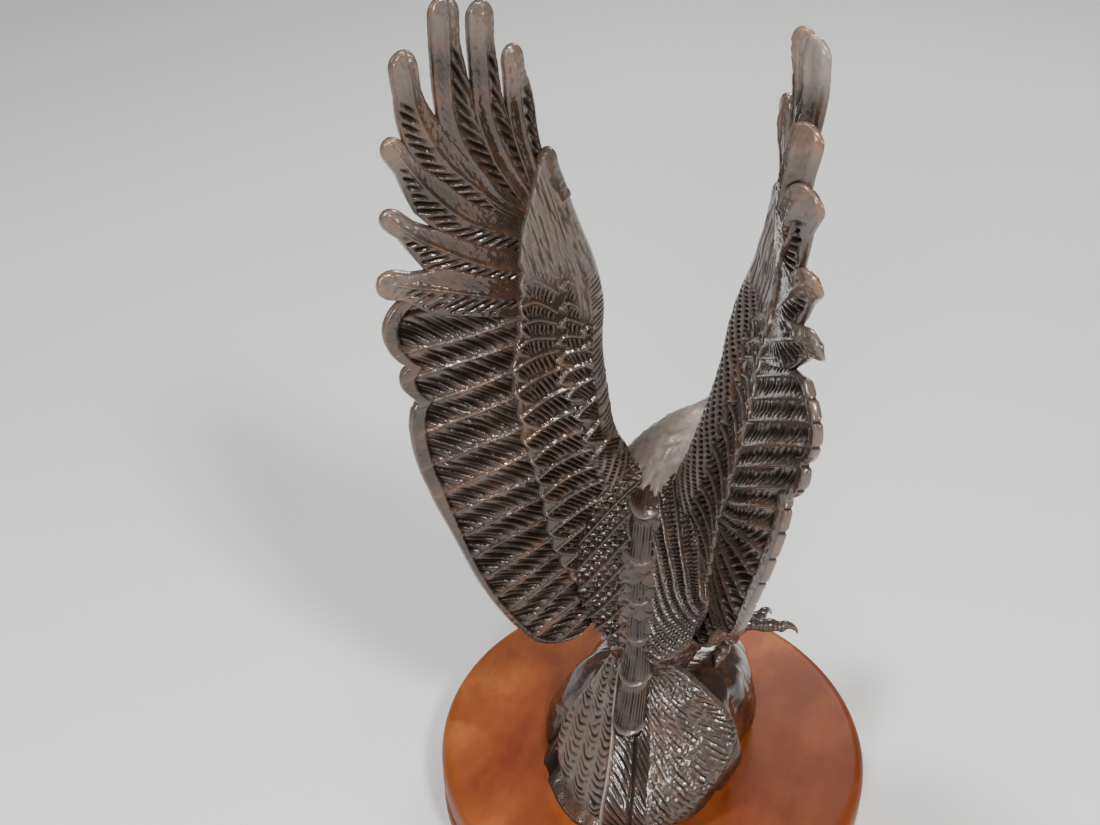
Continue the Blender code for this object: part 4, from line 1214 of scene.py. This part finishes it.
def wood_material():
    """Orange-brown stained wood with soft mottled grain under satin varnish."""
    m = Nodes("stained_wood")
    clouds = m.noise(14, 5, 0.6, (1.0, 0.55, 1.0))
    blotch = m.noise(34, 4, 0.6, (1.0, 0.8, 1.0))
    fibre = m.noise(60, 6, 0.65, (1.0, 0.08, 1.0))
    pores = m.noise(420, 3, 0.6, (1.0, 0.06, 1.0))
    colour = m.ramp(clouds, STAIN)
    for source, first, last, most, tone in ((blotch, 0.52, 0.62, 0.7, STAIN_BLOTCH),
                                            (fibre, 0.42, 0.7, 0.45, STAIN_FIBRE),
                                            (pores, 0.58, 0.75, 0.3, STAIN_PORES)):
        colour = m.mix(m.ramp(source, [(first, BLACK), (last, grey(most))]), colour, tone)
    m.shade(
        # Darker in the plinth's groove, a painted shade
        Base_Color=m.mix(m.times(m.attribute("cut"), 0.85), colour, GROOVE_SHADE),
        Roughness=m.plus(m.times(fibre, 0.2), 0.36),
        Specular_IOR_Level=0.15,
        Coat_Weight=0.04,
        Coat_Roughness=0.25,
        Normal=m.bump(m.plus(fibre, m.times(pores, 0.5)), 0.25, 0.0002),
    )
    return m.material


FLOOR_HALF = 3.0


def stage():
    """A plain pale floor."""
    m = Nodes("pale_floor")
    m.shade(Base_Color=(0.62, 0.61, 0.60), Roughness=0.85)
    mesh = bpy.data.meshes.new("floor")
    corners = [(x * FLOOR_HALF, y * FLOOR_HALF, 0) for x, y in ((-1, -1), (1, -1), (1, 1), (-1, 1))]
    mesh.from_pydata(corners, [], [(0, 1, 2, 3)])
    mesh.materials.append(m.material)
    floor = bpy.data.objects.new("floor", mesh)
    bpy.context.scene.collection.objects.link(floor)


# Metres and watts: name, place, width and height, power, colour
LIGHTS = (
    ("key", (-0.62, 0.52, 1.05), (0.16, 0.16), 19, (1.0, 0.99, 0.97)),
    ("left", (-0.92, 0.30, 0.42), (0.10, 0.24), 3, (1.0, 0.99, 0.97)),
    ("low", (-0.12, 0.90, 0.44), (0.12, 0.26), 6, (0.96, 0.98, 1.0)),
    ("side", (0.95, 0.35, 0.60), (0.16, 0.3), 1.5, (0.94, 0.97, 1.0)),
    ("far", (0.1, -1.0, 0.8), (0.5, 0.2), 7, (1, 1, 1)),
    ("over", (0.25, 0.25, 1.2), (0.14, 0.14), 10, (1, 1, 1)),
)
LIGHTS_AIM = (0.0, 0.0, 0.14)
CAMERA_PLACE = (-0.1192, 0.3473, 0.4336)
CAMERA_TURN = radians(25)
CAMERA_PITCH = radians(35.25)
CAMERA_LENS = 45.82


def aim(obj, direction):
    obj.rotation_euler = Vector(direction).to_track_quat("-Z", "Y").to_euler()
    bpy.context.scene.collection.objects.link(obj)


def studio():
    """A dim even sky and small lamps, which give the bronze its hard glints."""
    world = bpy.data.worlds.new("studio")
    world.use_nodes = True
    background = world.node_tree.nodes["Background"]
    background.inputs["Color"].default_value = (0.93, 0.96, 1.0, 1)
    background.inputs["Strength"].default_value = 0.16
    bpy.context.scene.world = world
    for name, place, size, power, colour in LIGHTS:
        data = bpy.data.lights.new(name, "AREA")
        data.shape = "RECTANGLE"
        data.size, data.size_y = size
        data.energy = power
        data.color = colour
        lamp = bpy.data.objects.new(name, data)
        lamp.location = place
        aim(lamp, Vector(LIGHTS_AIM) - Vector(place))


def camera():
    data = bpy.data.cameras.new("camera")
    data.sensor_width = 36
    data.lens = CAMERA_LENS
    data.clip_start = 0.01
    eye = bpy.data.objects.new("camera", data)
    eye.location = CAMERA_PLACE
    level = cos(CAMERA_PITCH)
    aim(eye, (sin(CAMERA_TURN) * level, -cos(CAMERA_TURN) * level, -sin(CAMERA_PITCH)))
    bpy.context.scene.camera = eye


bronze = bronze_material()
wood = wood_material()
wing(1, "left_wing", bronze)
wing(-1, "right_wing", bronze)
torso = Piece("body_and_head")
body(torso)
head(torso)
spine(torso)
torso.build(bronze, "bronze_eagle")
fan = Piece("tail_feathers")
tail(fan)
fan.build(bronze, "bronze_eagle")
stone = Piece("rock_and_feet")
rock(stone)
leg(stone, 1, LEFT_FOOT)
leg(stone, -1, RIGHT_FOOT)
stone.build(bronze, "bronze_eagle")
plinth(wood)
stage()
studio()
camera()
